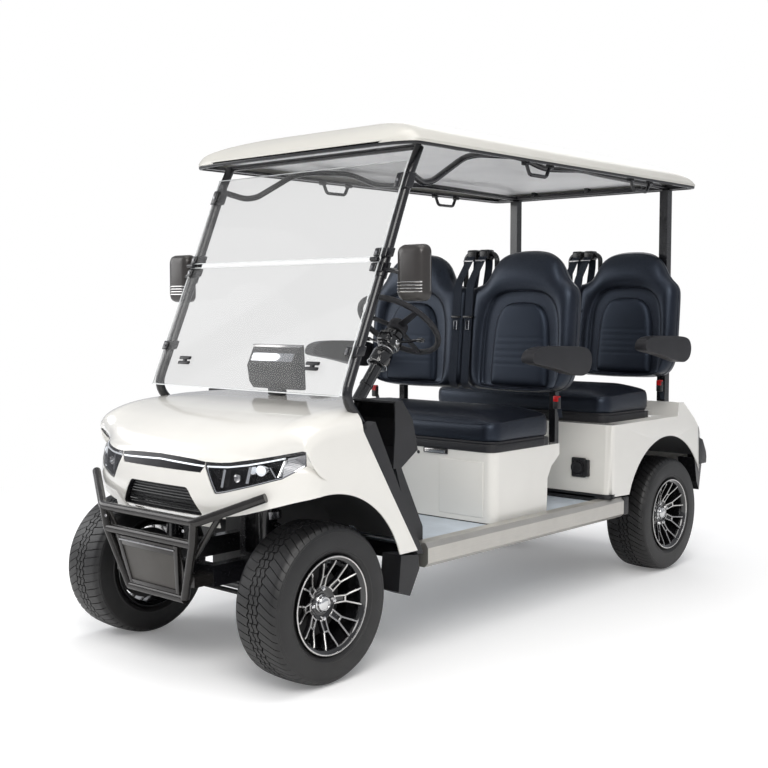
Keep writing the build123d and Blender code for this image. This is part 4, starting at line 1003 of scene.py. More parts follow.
def makeSeats():
    body, pinned = backBody()
    inflate(body, pinned, seat["capBack"])
    pad = backPad()
    cushion, cushionPins = cushionBody()
    inflate(cushion, cushionPins, seat["capCushion"])
    for o in (body, cushion):
        modify(o, "SUBSURF", levels=1, render_levels=1)
        with editing(applyMods(o)):
            bpy.ops.mesh.fill_holes(sides=0)
        fixNormals(o)
    backTree, cushionTree = surfaceTree(body), surfaceTree(cushion)
    # sewn cords: round the horseshoe, round the rear edge, and along the cushion's top edge
    hoop = cordRound(backTree, [(x, 0.012, z) for x, z in smoothLoop(fullLoop(ringOutline), 3)], 0.0004, 0.0022)
    middle = seat["domeZ"]
    edge = [(x * 1.02, 0.056, middle + (z - middle) * 1.02) for x, z in smoothLoop(list(backOutline))]
    rearCord = cordRound(backTree, edge, 0.0002, 0.0023)
    h, d = seat["cushionHalf"], seat["cushionDeep"]
    rim = []
    for a in [2 * math.pi * k / 160 for k in range(160)]:
        c, s = math.cos(a), math.sin(a)
        r = (abs(c / h) ** 9 + abs(s / (d / 2)) ** 9) ** (-1 / 9)
        rim.append((c * r, s * r, seat["cushionLow"] + 0.098 - frontRoll(s * r)))
    topCord = cordRound(cushionTree, rim, 0.0003, 0.0021)
    for row, place in seat["rows"].items():
        for side, word in sides:
            back, insert, *cords = [
                moved(mirrored(o) if side < 0 else twin(o), (side * seat["backMiddle"], place["backY"], place["backZ"]),
                      -math.radians(seat["lean"]), "X") for o in (body, pad, hoop, rearCord)]
            softDress(back, row + "Back" + word, row + "_seat_backs")
            dress(insert, row + "BackPad" + word, "seatLeatherDeep", "seat_skin", smooth=60)
            dress(cords, row + "BackCord" + word, "seatLeather", "seat_skin", smooth=60)
        top, cord = [moved(twin(o), (0, place["cushionY"] + d / 2, place["cushionZ"])) for o in (cushion, topCord)]
        softDress(top, row + "Cushion", row + "_cushion", row + "_lid")
        dress(cord, row + "CushionCord", "seatLeather", "seat_skin", smooth=60, body=row + "_lid")
    remove(body, pad, hoop, rearCord, cushion, topCord)


makeSeats()
print("seats ready")


# ---- armrests ----
armrest = {"inner": 0.604, "wide": 0.060, "pinDy": 0.062, "pinDz": 0.158, "round": 0.019,
           "side": ((-0.428, -0.006), (-0.424, 0.022), (-0.398, 0.043), (-0.330, 0.055), (-0.150, 0.053),
                    (-0.030, 0.046), (0.012, 0.028), (0.028, -0.006), (0.022, -0.040), (0.002, -0.064),
                    (-0.040, -0.080), (-0.100, -0.074), (-0.270, -0.036), (-0.400, -0.016))}


def makeArmrests():
    for row, place in seat["rows"].items():
        for side, word in sides:
            y0, z0 = place["backY"] + armrest["pinDy"], place["backZ"] + armrest["pinDz"]
            pts = smoothLoop([(y0 + dy, z0 + dz) for dy, dz in armrest["side"]])
            o = slabX(pts, *sorted((side * armrest["inner"], side * (armrest["inner"] + armrest["wide"]))))
            roundEdges(o, lambda a, b: abs(a.x - b.x) < 1e-6, armrest["round"], 6, "VERT")
            node = "armrest_" + row + "_" + word.lower()
            dress(o, "armrestFoam" + row.capitalize() + word, "foamBlack", "trim_black", node, 50, node)


makeArmrests()
print("armrests ready")


# ---- tyres ----
tyre = {
    "pitches": 56,
    # rows of one pitch in millimetres, with what they cut: shoulder sipe, centre slot, or nothing
    "rows": ((0.0, 0, 0), (0.6, 1, 0), (3.2, 1, 0), (3.8, 0, 0), (9.0, 0, 0), (14.0, 0, 0), (14.6, 0, 1), (16.8, 0, 1),
             (17.4, 0, 0), (24.5, 0, 0)),
    # columns from the middle out: width place, how far it follows the zigzag, what it is
    "columns": ((0.0, 1.0, "groove"), (2.1, 1.0, "groove"), (2.8, 1.0, "block"), (11.0, 0.9, "block"),
                (19.6, 1.0, "block"),
                (20.3, 1.0, "groove"), (24.6, 1.0, "groove"), (25.3, 1.0, "lug"), (33.0, 0.6, "lug"),
                (42.0, 0.3, "lug"), (51.0, 0.1, "lug"), (60.0, 0.0, "lug"), (69.0, 0.0, "lug"),
                (78.0, 0.0, "lug"), (85.0, 0.0, "lug"),
                (90.0, 0.0, "edge"), (94.5, 0.0, "edge"), (98.0, 0.0, "side")),
    "sideRings": ((0.2640, 100.4), (0.2600, 101.4), (0.2592, 102.6), (0.2545, 103.6), (0.2535, 103.0),
                  (0.246, 103.8), (0.236, 104.6), (0.222, 105.0), (0.206, 104.6), (0.198, 104.0), (0.1965, 105.0),
                  (0.1925, 104.6), (0.1915, 103.2), (0.186, 100.4), (0.181, 96.2), (0.1765, 91.0), (0.1745, 86.0),
                  (0.1640, 84.0)),
    "radius": 281.0, "grooveDepth": 7.0, "slotDepth": 5.0, "sipes": {"lug": 5.5, "edge": 5.5 * 0.55, "side": 1.2},
    "zig": 3.6, "sweep": 44.0, "innerSweep": 20.0,
}


def crownRadius(u):
    u = abs(u)
    return 0.2810 - 0.0022 * (u / 60) ** 2 - (0.0095 * ((u - 78) / 20) ** 2 if u > 78 else 0.0)


def makeTyre():
    # tread as a grid whose rows follow the swept sipes and whose columns follow the zigzag grooves
    half = tyre["columns"]
    columns = [(-u, k, word) for u, k, word in reversed(half[1:])] + list(half)
    pitch = 2 * math.pi * tyre["radius"] / tyre["pitches"]
    verts = []
    for p in range(tyre["pitches"]):
        for s, sipe, slot in tyre["rows"]:
            at = p * pitch + s * (pitch / 31.53)
            wave = tyre["zig"] * max(-1.0, min(1.0, math.sin(2 * math.pi * at / pitch) * 1.6))
            line = []
            for u, follow, word in columns:
                out = max(0.0, (abs(u) - 22) / 80) ** 1.15
                angle = (at - (-tyre["sweep"] if u > 0 else tyre["innerSweep"]) * out) / tyre["radius"]
                depth = sipe * tyre["sipes"].get(word, 0.0)
                if word == "groove":
                    depth = tyre["grooveDepth"]
                elif word == "block" and slot:
                    depth = tyre["slotDepth"]
                r = crownRadius(u) - depth / 1000
                line.append(((u + wave * follow) / 1000, r * math.cos(angle), r * math.sin(angle)))
            angle = (at + tyre["sweep"] * 0.95 ** 1.15) / tyre["radius"]
            right = [(u / 1000, r * math.cos(angle), r * math.sin(angle)) for r, u in tyre["sideRings"]]
            angle = (at - tyre["innerSweep"] * 0.95 ** 1.15) / tyre["radius"]
            left = [(-u / 1000, r * math.cos(angle), r * math.sin(angle)) for r, u in reversed(tyre["sideRings"])]
            verts += left + line + right
    row = len(left + line + right)
    faces = [tuple(k % len(verts) for k in face) for face in gridFaces(len(verts) // row + 1, row)]
    return fixNormals(meshFrom("tyre", verts, faces))


# ---- rims ----
wheelX = 0.5
rim = {
    "spokes": 8,
    # outboard place of the dished face by radius
    "dish": ((0.040, 0.050), (0.062, 0.054), (0.098, 0.068), (0.150, 0.094)),
    "barrel": ((0.1665, 0.1005), (0.1600, 0.0965), (0.1560, 0.0930), (0.1530, 0.0820), (0.1500, 0.0600), (0.1490, 0.0),
               (0.1490, -0.060), (0.1530, -0.085), (0.1640, -0.096), (0.1680, -0.1025), (0.1728, -0.1025),
               (0.1728, -0.096), (0.1600, -0.091), (0.1550, -0.060), (0.1550, 0.062),
               (0.1600, 0.091), (0.1728, 0.0965), (0.1728, 0.0985)),
    "lip": ((0.1665, 0.1000), (0.1672, 0.1025), (0.1690, 0.1038), (0.1715, 0.1038), (0.1730, 0.1025), (0.1730, 0.0985)),
    "hub": ((0.0345, 0.020), (0.0345, 0.046), (0.0420, 0.046), (0.0425, 0.0445), (0.0540, 0.0470), (0.0575, 0.0505),
            (0.0595, 0.0508), (0.0615, 0.0490), (0.0615, 0.026), (0.050, 0.016), (0.0345, 0.016)),
    "cap": ((0.0335, 0.030), (0.0335, 0.0500), (0.0325, 0.0525), (0.0300, 0.0545), (0.0285, 0.0600), (0.0265, 0.0635),
            (0.0225, 0.0665), (0.0205, 0.0665), (0.0195, 0.0655), (0.0160, 0.0672), (0.0100, 0.0685), (0.0001, 0.0690)),
    "arm": 0.0054, "pairHalf": 0.0105, "forkAt": 0.098, "tipHalf": 0.0300,
}


def spread(o, count):
    # copies of a piece round the axle
    with editing(o):
        bpy.ops.mesh.spin(steps=count - 1, dupli=True, angle=2 * math.pi * (count - 1) / count, center=(0, 0, 0),
                          axis=(1, 0, 0))
    return o


def dishAt(r):
    return between(rim["dish"], r)[0]


def ribbon(path, width, lift, depth):
    # a bar on the dished face: path of (radial, sideways), even width with mitred corners
    pts = [Vector(p) for p in path]
    fine = [pts[0]]
    for a, b in zip(pts, pts[1:]):
        steps = max(1, round((b - a).length / 0.012))
        fine += [a.lerp(b, k / steps) for k in range(1, steps + 1)]
    verts, faces = [], []
    for k, p in enumerate(fine):
        before = (p - fine[k - 1]).normalized() if k else (fine[1] - p).normalized()
        after = (fine[k + 1] - p).normalized() if k + 1 < len(fine) else before
        along = (before + after).normalized()
        side = Vector((-along.y, along.x))
        w = width / 2 / max(0.5, side.dot(Vector((-before.y, before.x))))
        for q, low in ((p + side * w, 0), (p - side * w, 0), (p - side * w, 1), (p + side * w, 1)):
            top = dishAt(q.length) + lift
            verts.append((top - (depth if low else 0.0), q.x, q.y))
    loops = [list(range(k, k + 4)) for k in range(0, len(verts), 4)]
    faces = ringFaces(loops) + [(3, 2, 1, 0), tuple(loops[-1])]
    o = fixNormals(meshFrom("ribbon", verts, faces))
    modify(o, "BEVEL", width=0.0006, segments=1, limit_method="ANGLE")
    return applyMods(o)


def makeRim():
    half, fork, tip = rim["pairHalf"], rim["forkAt"], rim["tipHalf"]
    arms, walls = [], []
    for s in (-1, 1):
        path = [(0.0560, s * (half + 0.0015)), (fork, s * half), (0.1525, s * tip)]
        arms.append(ribbon(path, rim["arm"], 0.0, 0.004))
        walls.append(ribbon(path, rim["arm"] + 0.0024, -0.0022, 0.017))
    arms.append(ribbon([(fork - 0.001, -half), (fork - 0.001, half)], rim["arm"], 0.0002, 0.004))
    arms.append(ribbon([(0.0605, -half), (0.0605, half)], rim["arm"] * 0.8, -0.001, 0.004))
    walls.append(ribbon([(0.056, 0.0), (fork + 0.002, 0.0)], half * 2, -0.0075, 0.012))
    edges = spread(joinAll(arms), rim["spokes"])
    edges = joinAll([lathe(rim["lip"]), edges])
    body = spread(joinAll(walls), rim["spokes"])
    body = joinAll([lathe(rim["barrel"] + rim["barrel"][:1]), lathe(rim["hub"] + rim["hub"][:1]), body])
    cap = lathe(rim["cap"], 64)
    fin = ribbon([(0.0215, 0.0), (0.0330, 0.0)], 0.0016, 0.0, 0.010)
    for v in fin.data.vertices:
        v.co.x += 0.0085 - (v.co.y - 0.0215) * 0.75
    cap = joinAll([spread(fin, 18), cap])
    nut = lathe(((0.0090, 0.040), (0.0090, 0.0560), (0.0078, 0.0600), (0.0045, 0.0625), (0.0001, 0.0632)), 6)
    for v in nut.data.vertices:
        v.co.z += 0.0525
    nuts = spread(nut, 4)
    return {"rimBody": body, "rimEdges": edges, "hubCap": cap, "lugNuts": nuts}


def wheelPlaces():
    for side, word in sides:
        for end, y, turn in (("front", frontAxle, 0.03), ("rear", rearAxle, 0.35)):
            yield side, word, end, y, turn


def makeWheels():
    look = {"tyre": ("tyreRubber", "tyre", "tyre_", 32), "rimBody": ("wheelBlack", "wheel_alloy", "rim_", 35),
            "rimEdges": ("machined", "wheel_alloy", "rim_", 35), "hubCap": ("chrome", "wheel_alloy", "rim_", 35),
            "lugNuts": ("chrome", "wheel_alloy", "rim_", 30)}
    for name, o in {"tyre": makeTyre(), **makeRim()}.items():
        finish, slot, prefix, angle = look[name]
        for side, word, end, y, turn in wheelPlaces():
            copy = moved(twin(o), (0, 0, 0), size=(side, 1, 1))
            if side < 0:
                copy.data.flip_normals()
            moved(copy, (side * wheelX, y, axleZ), turn, "X")
            place = end + "_" + word.lower()
            dress(copy, name + end.capitalize() + word, finish, slot, prefix + place, angle, "wheel_" + place)
        remove(o)


def makeDrums():
    # dark brake drum inside each rim; its wide back plate also stands in for the shade inside the wheel, as painted
    # shade
    profile = ((0.0300, -0.060), (0.1400, -0.060), (0.1400, -0.056), (0.1260, -0.054), (0.1260, 0.004),
               (0.1200, 0.010), (0.0700, 0.012), (0.0300, 0.012), (0.0300, -0.060))
    for side, word, end, y, turn in wheelPlaces():
        o = moved(lathe(profile, 48), (side * wheelX, y, axleZ), size=(side, 1, 1))
        if side < 0:
            o.data.flip_normals()
        body = "knuckle_" + word.lower() if end == "front" else "cart_body"
        dress(o, "brakeDrumAndShade" + end.capitalize() + word, "linerBlack", "frame_black", None, 35, body)


makeWheels()
makeDrums()
print("wheels ready")


# ---- lamps, light strip and plate recess ----
lampSet = {
    "wall": 0.0026, "deep": 0.036, "bezel": 0.0062,
    "bars": (((0.313, 0.690), (0.318, 0.7515), 0.0095), ((0.407, 0.7095), (0.411, 0.7650), 0.0100),
             ((0.498, 0.7330), (0.500, 0.7865), 0.0035), ((0.504, 0.7350), (0.506, 0.7885), 0.0022)),
    "projector": (0.438, 0.752, 0.0235, 0.0175), "reflector": (0.362, 0.7235, 0.016),
    "blade": ((0.463, 0.7640), (0.486, 0.7300), 0.0045),
}


def faceAt(x, z):
    # how far forward the bare cowl surface lies at a place on its front
    hit = cowlFace.ray_cast(Vector((x, frontAxle - 1.0, z)), Vector((0, 1, 0)))
    if hit[0] is None:
        return cowlFace.find_nearest(Vector((x, frontAxle - 0.1, z)))[0].y
    return hit[0].y


def edge(name, off=0.0):
    # the height of one of the cowl's lines at a place across, moved up a little
    def height(x):
        for a, b in zip(cowl[name], cowl[name][1:]):
            if abs(x) <= b[0]:
                break
        return a[1] + (b[1] - a[1]) * max(0.0, min(1.0, (abs(x) - a[0]) / max(1e-9, b[0] - a[0]))) + off
    return height


def band(upper, lower, lift, depth, closed=False):
    # a strip that follows the nose between two lines of (x, z): its front lies behind the surface by lift
    verts = []
    for (ux, uz), (lx, lz) in zip(upper, lower):
        uy, ly = faceAt(ux, uz) + lift, faceAt(lx, lz) + lift
        verts += [(ux, uy, uz), (lx, ly, lz), (lx, ly + depth, lz), (ux, uy + depth, uz)]
    loops = [list(range(k, k + 4)) for k in range(0, len(verts), 4)]
    faces = ringFaces(loops + loops[:1]) if closed else ringFaces(loops) + [(0, 3, 2, 1), tuple(loops[-1])]
    return fixNormals(meshFrom("band", verts, faces))


def span(low, high, upper, lower, lift, depth, step=0.010):
    # a strip between two edges, from one place across to another
    n = max(2, round((high - low) / step))
    xs = [low + (high - low) * k / n for k in range(n + 1)]
    return band([(x, upper(x)) for x in xs], [(x, lower(x)) for x in xs], lift, depth)


def insetLoop(points, d):
    # a closed outline moved inwards by d
    area = sum(a[0] * b[1] - b[0] * a[1] for a, b in zip(points, points[1:] + points[:1]))
    turn = 1 if area > 0 else -1
    out = []
    for k, p in enumerate(points):
        a, b = Vector(points[k - 1]), Vector(points[(k + 1) % len(points)])
        u, v = (Vector(p) - a).normalized(), (b - Vector(p)).normalized()
        n = (Vector((-u.y, u.x)) + Vector((-v.y, v.x))).normalized() * turn
        n /= max(0.45, n.dot(Vector((-u.y, u.x)) * turn))
        out.append((p[0] + n.x * d, p[1] + n.y * d))
    return out


def densify(points, step=0.012):
    out = []
    for a, b in zip(points, points[1:] + points[:1]):
        n = max(1, round((Vector(b) - Vector(a)).length / step))
        out += [(a[0] + (b[0] - a[0]) * k / n, a[1] + (b[1] - a[1]) * k / n) for k in range(n)]
    return out


def makeLamp():
    outline = densify(list(cowl["lamp"]), 0.008)
    deep = lampSet["deep"]
    made = [(band(insetLoop(outline, 0.0004), insetLoop(outline, lampSet["wall"]), 0.0034, deep, True), "lampBlack"),
            (band(insetLoop(outline, 0.0010), insetLoop(outline, lampSet["bezel"]), 0.0046, 0.007, True), "lampSilver"),
            (span(0.240, 0.583, edge("topEdge", -0.001), edge("lowEdge", 0.001), deep, 0.003, 0.006), "lampBlack"),
            (span(0.239, 0.583, edge("topEdge", -0.0005), edge("lightLine", 0.0036), 0.0036, 0.010), "plasticGloss"),
            (span(0.244, 0.503, edge("lightLine", 0.0030), edge("lightLine", -0.0024), 0.0036, 0.006), "lightWhite")]
    for (ax, az), (bx, bz), wide in lampSet["bars"]:
        h = wide / 2
        across = (-h, -h * 0.6, h * 0.6, h)
        made.append((band([(bx + u, bz) for u in across], [(ax + u, az) for u in across], 0.007, 0.026), "lampSilver"))
    (ax, az), (bx, bz), wide = lampSet["blade"]
    made.append((band([(ax, az), (ax + wide, az)], [(bx, bz), (bx + wide, bz)], 0.014, 0.018), "lampSilver"))
    # frosted tip with fine lines across it
    topZ, lowZ = edge("lightLine", -0.001), edge("lowEdge", 0.0066)
    for k in range(7):
        share = (k + 0.5) / 7
        mid = lambda x: topZ(x) + (lowZ(x) - topZ(x)) * share
        thick = lambda x: max(0.0002, (topZ(x) - lowZ(x)) / 7 * 0.43)
        line = span(0.509, 0.574, lambda x: mid(x) + thick(x), lambda x: mid(x) - thick(x), 0.0085, 0.006, 0.008)
        made.append((line, "lampFrost"))
    # triangular inner cell with slanted ribs
    for k in range(4):
        x, low, z = 0.258 + 0.014 * k, 0.284 + 0.010 * k, 0.700 + 0.008 * (3 - k)
        rib = band([(x, 0.748), (x + 0.003, 0.748)], [(low, z), (low + 0.003, z)], 0.014, 0.016)
        made.append((rib, "plasticGloss"))
    # round reflector and the bright projector lens
    bowl = ((0.006, 1), (0.012, 1), (0.014, 0.94), (0.010, 0.86), (0.001, 0.5), (0.0, 0.22), (0.007, 0.2))
    x, z, r = lampSet["reflector"]
    bowl = lathe([(r * f, u) for u, f in bowl] + [(0.0001, 0.008)], 40)
    made.append((moved(bowl, (x, faceAt(x, z) + 0.030, z), -quarter), "chrome"))
    x, z, rx, rz = lampSet["projector"]
    dome = [(math.cos(a * math.pi / 24), 0.55 * math.sin(a * math.pi / 24)) for a in range(0, 12)] + [(0.001, 0.55)]
    ring = [(0.98, 0.10), (1.10, 0.10), (1.14, 0.0), (1.14, -0.9), (0.98, -0.9), (0.98, 0.10)]
    for profile, deep, finish in ((dome, 0.022, "lightWhite"), (ring, 0.018, "lampSilver")):
        o = moved(lathe(profile, 48), (x, faceAt(x, z) + 0.020, z), -quarter, size=(deep, rx, rz))
        made.append((o, finish))
    return made


def makeNose():
    groups = {}
    for o, finish in makeLamp():
        groups.setdefault(finish, []).append(o)
    for finish, objs in groups.items():
        one = joinAll(objs)
        for o, (side, word) in zip((one, mirrored(one)), sides):
            dress(o, "lamp" + finish[0].upper() + finish[1:] + word, finish, "lamp_clear", "headlamps")
    # strip between the lamps: dark band, light line, gloss band, all on one backing
    top = edge("topEdge", -0.0012)
    foot = lambda x: 0.7365 + max(0.0, abs(x) - 0.2215) * 1.7
    body = [span(-0.2355, 0.2355, top, foot, 0.0085, 0.003),
            span(-0.2352, 0.2352, top, edge("lightLine", 0.0036), 0.0018, 0.0068),
            span(-0.2352, 0.2352, edge("lightLine", -0.0030), foot, 0.0010, 0.0076)]
    glow = span(-0.2348, 0.2348, edge("lightLine", 0.0030), edge("lightLine", -0.0024), 0.0024, 0.0062)
    # plate recess: walls, a back and fine level ribs, left bare
    outline = densify(list(cowl["plate"]), 0.010)
    recess = [band(insetLoop(outline, 0.0004), insetLoop(outline, 0.003), 0.0022, 0.020, True)]
    upper = lambda x: min(0.678, 0.590 + (0.226 - abs(x)) * 0.078 / 0.056)
    recess.append(span(-0.2190, 0.2190, upper, lambda x: 0.584, 0.0185, 0.003, 0.008))
    ribs = []
    for z in [0.594 + 0.0105 * k for k in range(8)]:
        half = 0.226 - (z - 0.590) * 0.056 / 0.078 - 0.005
        ribs.append(span(-half, half, lambda x: z + 0.0012, lambda x: z - 0.0012, 0.0135, 0.0052, 0.02))
    strip = span(-0.205, 0.205, lambda x: 0.5800, lambda x: 0.5755, -0.0022, 0.003, 0.02)
    for o, name, finish in ((body, "lightStripBody", "lampBlack"), (glow, "lightStripLine", "lightWhite"),
                            (recess, "plateRecess", "plasticBlack"), (ribs, "plateRibs", "plasticGloss"),
                            (strip, "plateStrip", "chrome")):
        dress(o, name, finish, "trim_black", "grille")


makeNose()
print("nose ready")


# ---- brush guard dressing ----
guard = {"panelTop": (-0.3315, 0.480, 0.180), "panelLow": (-0.2975, 0.300, 0.145)}


def guardPoint(u, v, out=0.0):
    # u across from -1 to 1, v from the lower edge up to the top edge of the panel
    (y1, z1, w1), (y0, z0, w0) = guard["panelTop"], guard["panelLow"]
    along = Vector((0, y1 - y0, z1 - z0)).normalized()
    face = Vector((0, -along.z, along.y))
    p = Vector((u * (w0 + (w1 - w0) * v), frontAxle + y0 + (y1 - y0) * v, z0 + (z1 - z0) * v))
    return p + face * out


def guardPlate(u0, u1, v0, v1, out, deep, bevel):
    verts = [guardPoint(u, v, d) for d in (out - deep, out) for u, v in ((u0, v0), (u1, v0), (u1, v1), (u0, v1))]
    faces = [(3, 2, 1, 0), (4, 5, 6, 7), (0, 1, 5, 4), (1, 2, 6, 5), (2, 3, 7, 6), (3, 0, 4, 7)]
    o = meshFrom("guardPlate", verts, faces)
    with editing(fixNormals(o)):
        bpy.ops.mesh.bevel(offset=bevel, segments=2, affect="EDGES")
    return o


def makeGuard():
    border = [guardPlate(*edges, 0.006, 0.005, 0.0015) for edges in (
        (-0.99, -0.86, 0.0, 1.0), (0.86, 0.99, 0.0, 1.0), (-0.86, 0.86, 0.0, 0.09), (-0.86, 0.86, 0.80, 0.99))]
    rib = guardPlate(-0.90, 0.90, 0.90, 0.935, 0.0105, 0.005, 0.0016)
    sheet = guardPlate(-0.86, 0.86, 0.09, 0.80, 0.0026, 0.0018, 0.0006)
    head = ((0.0001, 0.0), (0.0065, 0.0), (0.0065, 0.0035), (0.0052, 0.0050), (0.0001, 0.0052))
    bolts = [moved(lathe(head, 6), (x, frontAxle - 0.344, 0.542), -quarter) for x in (-0.225, 0.225)]
    for o, name, finish, angle in ((border, "guardBorder", "guardMetal", 40), (rib, "guardRib", "steelGrey", 40),
                                   (sheet, "guardPanelFace", "guardPanel", 40), (bolts, "guardBolts", "steelGrey", 30)):
        dress(o, name, finish, "frame_black", smooth=angle)


makeGuard()
print("guard ready")


# ---- windshield ----
glass = {"line": ((0.862, 0.240), (0.985, 0.130), (1.480, 0.346), (1.809, 0.484), (1.905, 0.535)), "half": 0.535,
         "tube": 0.018, "off": 0.029, "thick": 0.005, "low": 0.992, "split": 1.480, "gap": 0.007, "top": 1.850,
         "edge": 0.0036, "bumper": (0.365, 1.094),
         # bars of a rest: height off its middle, half length, half height, how far it stands out, bevel
         "rests": ((-0.0095, 0.033, 0.0065, 0.013, 0.004), (0.0095, 0.033, 0.0065, 0.013, 0.004),
                   (0.0, 0.010, 0.012, 0.010, 0.003)),
         "clamps": ((1.150, 0.018), (1.452, 0.017), (1.506, 0.017), (1.775, 0.030))}


def pillarAt(z):
    rows = glass["line"][1:]
    for (za, ya), (zb, yb) in zip(rows, rows[1:]):
        if z <= zb:
            break
    return frontAxle + ya + (yb - ya) * (z - za) / (zb - za)


def glassAt(z):
    a, b = (glass["low"], glass["split"]) if z < glass["split"] else (glass["split"], glass["top"])
    ya, yb = pillarAt(a), pillarAt(b)
    return ya + (yb - ya) * (z - a) / (b - a) - glass["off"]


def glassSlab(xLow, xHigh, zLow, zHigh, front=0.0, back=0.0, bevel=0.0):
    # a plate that lies along the pane, standing ahead of its front face and behind its back face
    low, high, ahead = glassAt(zLow), glassAt(zHigh - 1e-6), glass["thick"] + front
    return slabX([(low + back, zLow), (high + back, zHigh), (high - ahead, zHigh), (low - ahead, zLow)],
                 xLow, xHigh, bevel)


def makeWindshield():
    h, e, t = glass["half"], glass["edge"], glass["thick"]
    panes, edges = [], []
    for low, high in ((glass["low"], glass["split"] - glass["gap"]), (glass["split"] + glass["gap"], glass["top"])):
        panes.append(glassSlab(-h + e, h - e, low + e, high - e, 0, 0, 0.0006))
        # strips round each pane, coloured near white as a painted highlight
        edges += [glassSlab(*strip, 0.0002, 0.0002, 0.0008) for strip in (
            (-h, -h + e, low, high), (h - e, h, low, high), (-h + e, h - e, low, low + e),
            (-h + e, h - e, high - e, high))]
    dress(panes, "windshieldPane", "pane", "pane", "windshield_panes", 20)
    dress(edges, "windshieldPaneEdgeHighlight", "paneEdgeHighlight", "pane", "windshield_panes", 20)
    pillar = rod([(h, frontAxle + y, z) for z, y in glass["line"]], glass["tube"], 0.05, 24)
    clips, bolts = [], []
    head = ((0.0001, 0.004), (0.0062, 0.004), (0.0062, 0.0), (0.0001, 0.0))
    for z, half in glass["clamps"]:
        low, top = z - half, z + half
        clips.append(slabX([(glassAt(low) + 0.0003, low), (glassAt(top) + 0.0003, top), (pillarAt(top) + 0.019, top),
                            (pillarAt(low) + 0.019, low)], h - 0.027, h + 0.020, 0.005, 3))
        clips.append(slabX([(glassAt(low + 0.003) - t - 0.010, low + 0.003),
                            (glassAt(top - 0.003) - t - 0.010, top - 0.003), (glassAt(top) - t - 0.0003, top),
                            (glassAt(low) - t - 0.0003, low)], h - 0.028, h - 0.001, 0.004, 3))
        bolts.append(moved(lathe(head, 6), (h - 0.0145, glassAt(z) - t - 0.0135, z), quarter))
    # hinge barrel at the split
    z = glass["split"]
    clips.append(rod([(h - 0.030, glassAt(z) - 0.016, z), (h + 0.006, glassAt(z) - 0.016, z)], 0.0085, sides=20))
    one, bolt = joinAll([pillar] + clips), joinAll(bolts)
    bar = rod([(x, frontAxle + 0.537, 1.9065) for x in (-h, h)], 0.012, sides=20)
    dress([one, mirrored(one), bar], "windshieldFrame", "frameBlack", "frame_black", "windshield_frame")
    dress([bolt, mirrored(bolt)], "windshieldBolts", "steelGrey", "frame_black", "windshield_frame", 30)
    # dark rests in front of the lower pane
    x, z = glass["bumper"]
    rests = []
    for side in (-1, 1):
        for off, half, high, front, bevel in glass["rests"]:
            low, top = sorted((side * (x - half), side * (x + half)))
            rests.append(glassSlab(low, top, z + off - high, z + off + high, front, -0.0055, bevel))
    dress(rests, "windshieldRests", "plasticBlack", "trim_black")


makeWindshield()
print("windshield ready")


# ---- roof frame and liner ----
roofFrame = {
    "bar": 0.013, "z": 1.920, "grips": (1.165, 2.010), "gripLong": 0.155, "gripX": 0.585,
    # side tube from the pillar to the rear post: x, y from the front axle, z
    "side": ((0.530, 0.500, 1.800), (0.505, 0.590, 1.778), (0.500, 0.655, 1.789), (0.490, 0.864, 1.900),
             (0.485, 0.960, 1.922), (0.485, 1.200, 1.938), (0.490, 1.270, 1.934), (0.495, 1.425, 1.904),
             (0.495, 1.540, 1.910), (0.480, 1.740, 1.928), (0.463, 1.900, 1.925), (0.463, 2.585, 1.912)),
    "linerInset": 0.034, "linerColumns": 40, "linerRows": 64,
}


